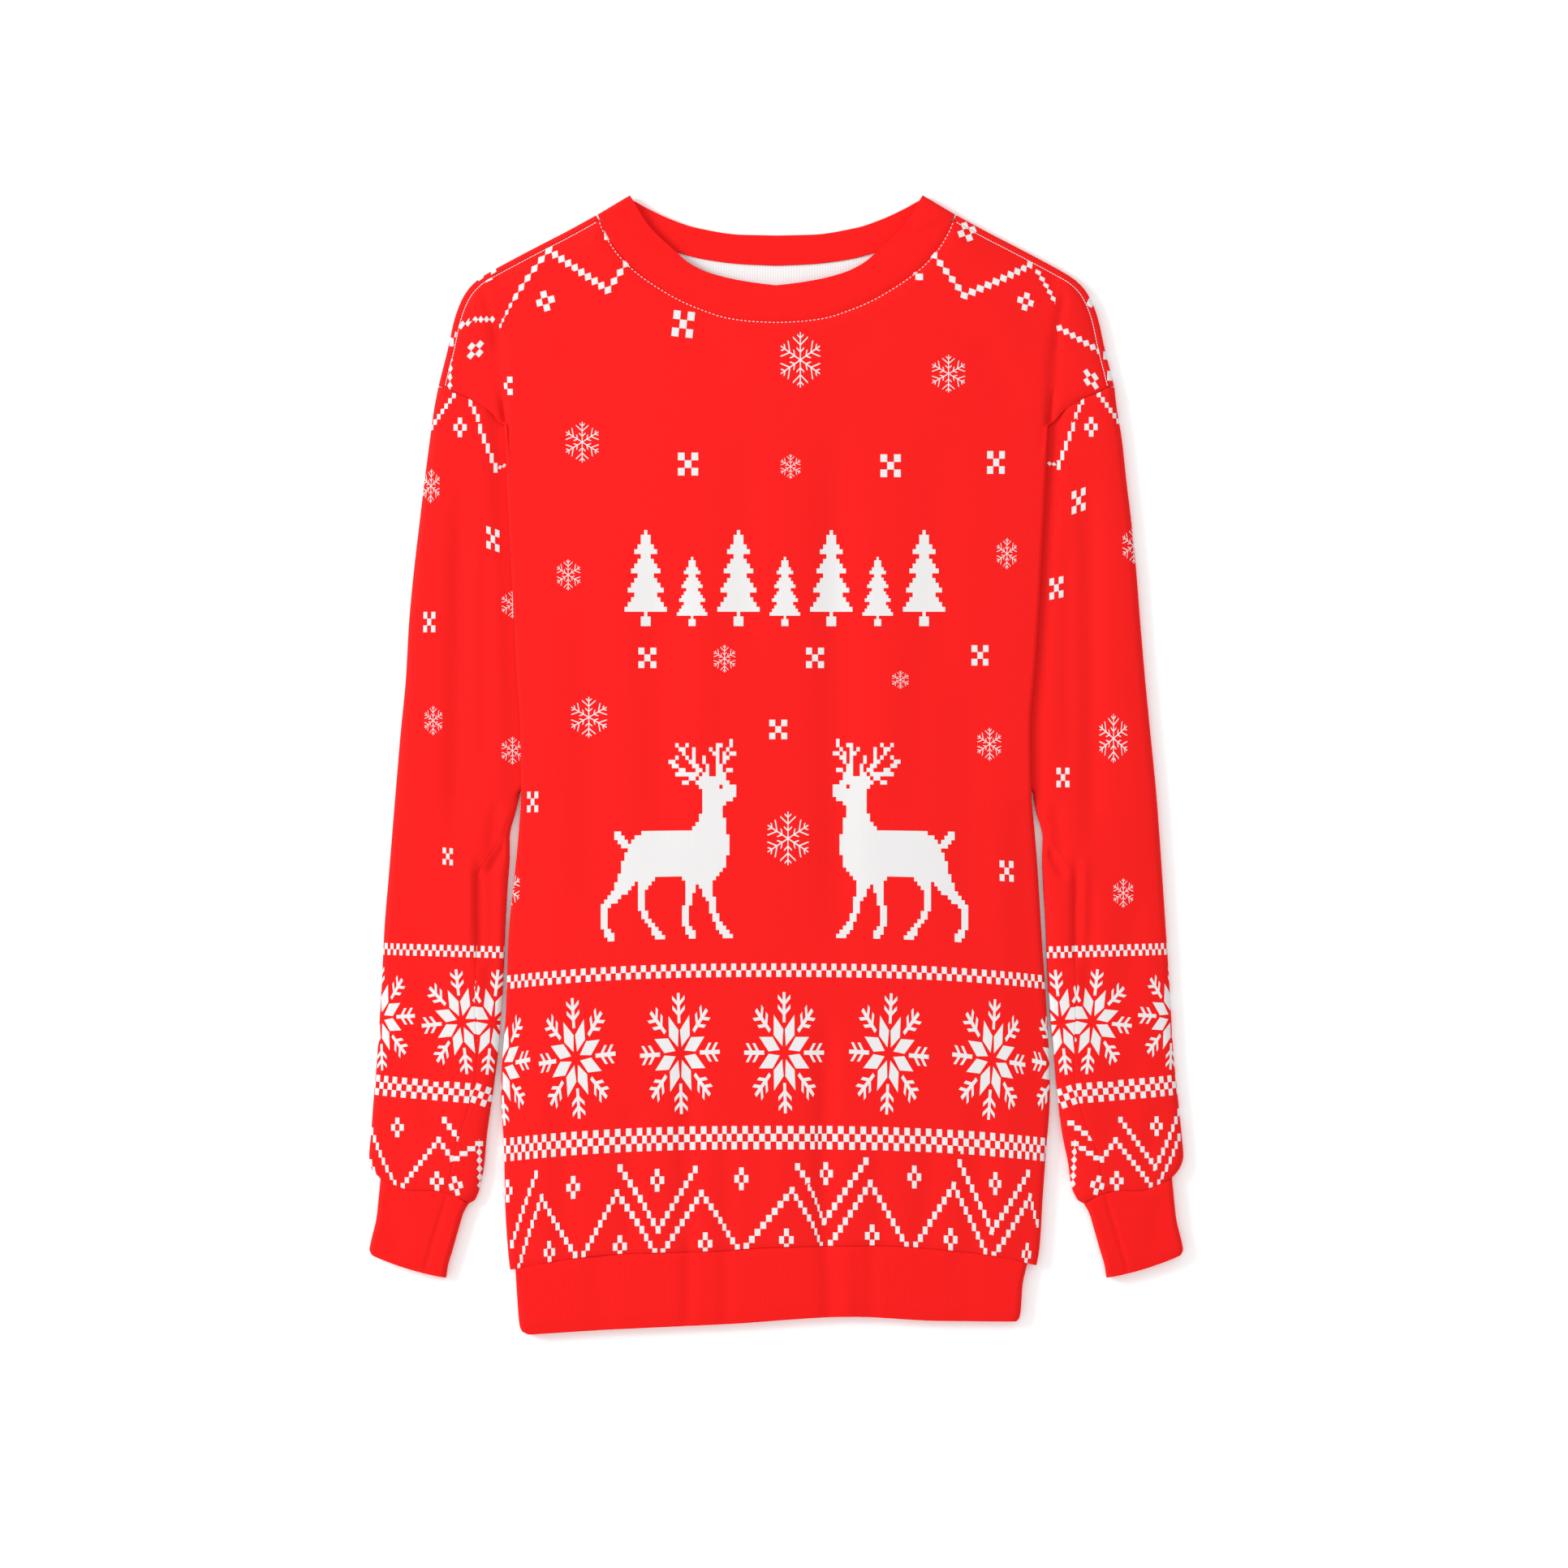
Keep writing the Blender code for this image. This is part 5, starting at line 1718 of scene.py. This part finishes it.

# %% [markdown]
# ## The finishes
#
# The outside of the fleece is red with white ink, matt and slightly uneven. Its inside is
# brushed and left white. The ribbed bands are dyed red and not printed. Each finish is
# painted darker where its knit lies low, as shade in the hollows between loops and ribs.

# %% A knitted finish
MATT, BUMP_STRENGTH = 0.12, 0.5


def mixed(tree, factor, first, second):
    """A colour between two others. The first may be another node's output."""
    node = tree.nodes.new("ShaderNodeMix")
    node.data_type = "RGBA"
    tree.links.new(factor, node.inputs["Factor"])
    if isinstance(first, bpy.types.NodeSocket):
        tree.links.new(first, node.inputs["A"])
    else:
        node.inputs["A"].default_value = first
    node.inputs["B"].default_value = second
    return node.outputs["Result"]


def knitted(name, colour, knit_shade_colour, column, row, fuzz, height, rough, printed=None):
    """A matt knitted finish, painted darker where its knit lies low, as shade in the knit's
    hollows. Where there is a print, it puts a second colour on top.
    """
    finish = bpy.data.materials.new(name)
    finish.use_nodes = True
    tree = finish.node_tree
    shader = tree.nodes["Principled BSDF"]
    shader.inputs["Roughness"].default_value = rough
    shader.inputs["Specular IOR Level"].default_value = MATT
    lie = tree.nodes.new("ShaderNodeUVMap")
    lie.uv_map = "cloth"
    knit = tree.nodes.new("ShaderNodeGroup")
    knit.node_tree = knit_group
    for title, value in (("Column width", column), ("Row height", row), ("Fuzz", fuzz)):
        knit.inputs[title].default_value = value
    tree.links.new(lie.outputs["UV"], knit.inputs["Place"])
    # Painted shade in the knit's hollows: the darker colour where the knit lies low.
    base = mixed(tree, knit.outputs["Shade"], knit_shade_colour, colour)
    if printed:
        place = tree.nodes.new("ShaderNodeUVMap")
        place.uv_map = "print"
        code = tree.nodes.new("ShaderNodeAttribute")
        code.attribute_name = "motif"
        ink = tree.nodes.new("ShaderNodeGroup")
        ink.node_tree = print_group
        tree.links.new(place.outputs["UV"], ink.inputs["Place"])
        tree.links.new(code.outputs["Fac"], ink.inputs["Motif"])
        base = mixed(tree, ink.outputs["White"], base, printed)
    tree.links.new(base, shader.inputs["Base Color"])
    bump = tree.nodes.new("ShaderNodeBump")
    bump.inputs["Strength"].default_value = BUMP_STRENGTH
    bump.inputs["Distance"].default_value = height * MM
    tree.links.new(knit.outputs["Height"], bump.inputs["Height"])
    tree.links.new(bump.outputs["Normal"], shader.inputs["Normal"])
    return finish

# %% Red fleece, its inside, and the rib
# The second colour of each finish is the painted shade in the hollows of its knit.
printed_fleece = knitted("printed fleece", (0.745, 0.0115, 0.0105, 1), (0.685, 0.0075, 0.0068, 1),
                         column=0.8, row=0.7, fuzz=0.8, height=0.06, rough=0.9,
                         printed=(0.64, 0.625, 0.625, 1))
fleece_inside = knitted("brushed inside", (0.74, 0.74, 0.74, 1), (0.67, 0.67, 0.67, 1),
                        column=1.6, row=1.4, fuzz=2.0, height=0.12, rough=0.95)
rib_red = knitted("red rib", (0.745, 0.0100, 0.0090, 1), (0.70, 0.0072, 0.0065, 1),
                  column=1.5, row=0.8, fuzz=0.6, height=0.10, rough=0.9)

# %% [markdown]
# ## Sew the pieces
#
# Now the grids become cloth. Each one first sinks beside its seams, then gets its print
# map, and is then thickened. The four printed pieces come from one kind of cloth and the
# four bands from another, as they would from two rolls.

# %% Sew the body and the sleeves
pieces = {}
points = sunk(as_grid(front_rows()))
pieces["front_panel"] = sew("front_panel", points, CLOTH, printed_fleece, fleece_inside,
                            *print_front(points))
points = sunk(as_grid(back_rows()))
pieces["back_panel"] = sew("back_panel", points, CLOTH, printed_fleece, fleece_inside,
                           *print_back(points))
for side in SIDES:
    name = f"{side}_sleeve"
    points = sunk(as_grid(sleeve_rows(side)))
    pieces[name] = sew(name, points, CLOTH, printed_fleece, fleece_inside,
                       *print_sleeve(points, side))

# %% Sew the ribbed bands
for name, rows, wall in (
        ("waistband", waistband_rows(), RIB), ("left_cuff", cuff_rows("left"), RIB),
        ("right_cuff", cuff_rows("right"), RIB), ("neckband", neckband_rows(), NECK_RIB)):
    points = sunk(as_grid(rows))
    pieces[name] = sew(name, points, wall, rib_red, rib_red, *plain_band(points), ring=True)

# %% [markdown]
# ## Stitches
#
# A twin needle runs round the neck and leaves a row of short pale stitches beside the
# seam, and the thread in the shoulder seams shows as a fine broken line. Real stitches
# lie on the cloth and dip in at both ends, so each one is a small slim bead that is half
# sunk in it. Its height comes from a ray that falls on the finished cloth.

# %% Rows of stitches
TWIST_SCALE = 1600      # so that a stitch shows a few turns of its thread
thread = bpy.data.materials.new("pale thread")
thread.use_nodes = True
twist = thread.node_tree.nodes.new("ShaderNodeTexWave")
twist.inputs["Scale"].default_value = TWIST_SCALE
where = thread.node_tree.nodes.new("ShaderNodeTexCoord")
thread.node_tree.links.new(where.outputs["Object"], twist.inputs["Vector"])
# Painted light and shade: light and dark stripes stand for the turns of the thread.
painted_twist_shade = mixed(thread.node_tree, twist.outputs["Fac"], (0.70, 0.68, 0.68, 1), (0.82, 0.80, 0.80, 1))
cotton = thread.node_tree.nodes["Principled BSDF"]
cotton.inputs["Roughness"].default_value = 0.7
thread.node_tree.links.new(painted_twist_shade, cotton.inputs["Base Color"])


HIGH_ABOVE = 40     # where the rays start that look for the cloth


def stitch(name, line, cloth, long, step, thick):
    """A row of stitches along a line of points, lying on a piece of cloth."""
    surface = BVHTree.FromObject(cloth, bpy.context.evaluated_depsgraph_get())
    run = np.linalg.norm(np.diff(line, axis=0), axis=1).sum()
    row = bmesh.new()
    count = 0
    for at in np.arange(step, run - step, step):
        ends = []
        for x, y in along(line, [(at - long / 2) / run, (at + long / 2) / run]):
            hit = surface.ray_cast(Vector((x, y, HIGH_ABOVE)) * MM, Vector((0, 0, -1)))[0]
            if hit:
                ends.append(hit)
        if len(ends) < 2:
            continue
        way = ends[1] - ends[0]
        turn = way.to_track_quat("X", "Z").to_matrix().to_4x4()
        place = Matrix.Translation((ends[0] + ends[1]) / 2) @ turn
        size = Matrix.Diagonal((long * MM / 2, thick * MM / 2, thick * MM / 2, 1))
        bmesh.ops.create_uvsphere(row, u_segments=6, v_segments=4, radius=1, matrix=place @ size)
        count += 1
    mesh = mesh_from(name, row)
    mesh.shade_smooth()
    mesh.materials.append(thread)
    made = into_scene(name, mesh)
    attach(made, "root")
    print(f"{name}: {count} stitches")

# %% Stitches round the neck and along the shoulders
NECK_STITCH, SHOULDER_STITCH = (1.6, 2.5, 0.55), (1.9, 1.8, 0.5)    # length, step, thickness
OFF_NECK, OFF_SHOULDER = 1.0, 0.35                                  # how far off the seam
neck_line = neckline(NECK_FRONT_SEAM, OFF_NECK)
neck_line = np.vstack([neck_line * (-1, 1), neck_line[-2::-1]])
stitch("neck_stitches", neck_line, pieces["front_panel"], *NECK_STITCH)
for side, sign in SIDES.items():
    stitch(f"{side}_shoulder_stitches",
           shoulder_line(SHOULDER_INSET + OFF_SHOULDER) * (sign, 1),
           pieces["front_panel"], *SHOULDER_STITCH)

# %% [markdown]
# ## Put the pieces on the frame
#
# Each piece of cloth rides on the frame's root and takes the place of the imported solid
# of the same name.

# %% Ride and replace
for name, piece in pieces.items():
    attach(piece, "root")
    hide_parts(name)

# %% [markdown]
# ## The table, the light and the camera
#
# A garment is photographed flat under a wide, even light, so that the print reads clearly.
# A bright world gives that light here. One soft lamp low on the left adds the little shade
# that shows the creases. The camera looks straight down through a long lens, so that
# the sleeves aren't stretched towards the picture's edges.

# %% Floor and world
TABLE_HALF, TABLE_LEVEL = 2.0, -0.0003     # metres: half its side, and just under the cloth
SKY_STRENGTH = 1.02                      # bright enough for the table to come out white
floor_mesh = bmesh.new()
bmesh.ops.create_grid(floor_mesh, x_segments=1, y_segments=1, size=TABLE_HALF)
table_top = into_scene("table_top", mesh_from("table_top", floor_mesh))
table_top.location.z = TABLE_LEVEL
paper = bpy.data.materials.new("white paper")
paper.use_nodes = True
matt = paper.node_tree.nodes["Principled BSDF"].inputs
matt["Base Color"].default_value = (0.95, 0.95, 0.95, 1)
matt["Roughness"].default_value = 0.9
matt["Specular IOR Level"].default_value = 0.1
table_top.data.materials.append(paper)

world = bpy.data.worlds.new("studio")
world.use_nodes = True
sky = world.node_tree.nodes["Background"].inputs
sky["Color"].default_value = (1, 1, 1, 1)
sky["Strength"].default_value = SKY_STRENGTH
bpy.context.scene.world = world
bpy.context.scene.view_settings.view_transform = "Standard"
bpy.context.scene.view_settings.look = "None"

# %% Light
KEY_PLACE, KEY_SIZE, KEY_POWER = (-2.3, 0.8, 1.1), 1.0, 66     # metres and watts


def soft_light(name, place, size, power):
    """A square soft box that looks at the middle of the garment."""
    light = bpy.data.lights.new(name, "AREA")
    light.shape = "SQUARE"
    light.size = size
    light.energy = power
    box = into_scene(name, light)
    box.location = place
    box.rotation_euler = (-Vector(place)).to_track_quat("-Z", "Y").to_euler()


soft_light("key light", KEY_PLACE, KEY_SIZE, KEY_POWER)

# %% Camera
LENS, SENSOR = 100.0, 36.0
CLIP_END = 20           # metres
FRAME_WIDTH = 963.3     # what the photograph's frame covers at the height of the aim
CAMERA_AIM = (4.75, -12.0, 7.0)
camera_data = bpy.data.cameras.new("camera")
camera_data.lens = LENS
camera_data.sensor_width = SENSOR
camera_data.clip_end = CLIP_END
camera = into_scene("camera", camera_data)
camera.location = (Vector(CAMERA_AIM) + Vector((0, 0, FRAME_WIDTH * LENS / SENSOR))) * MM
bpy.context.scene.camera = camera
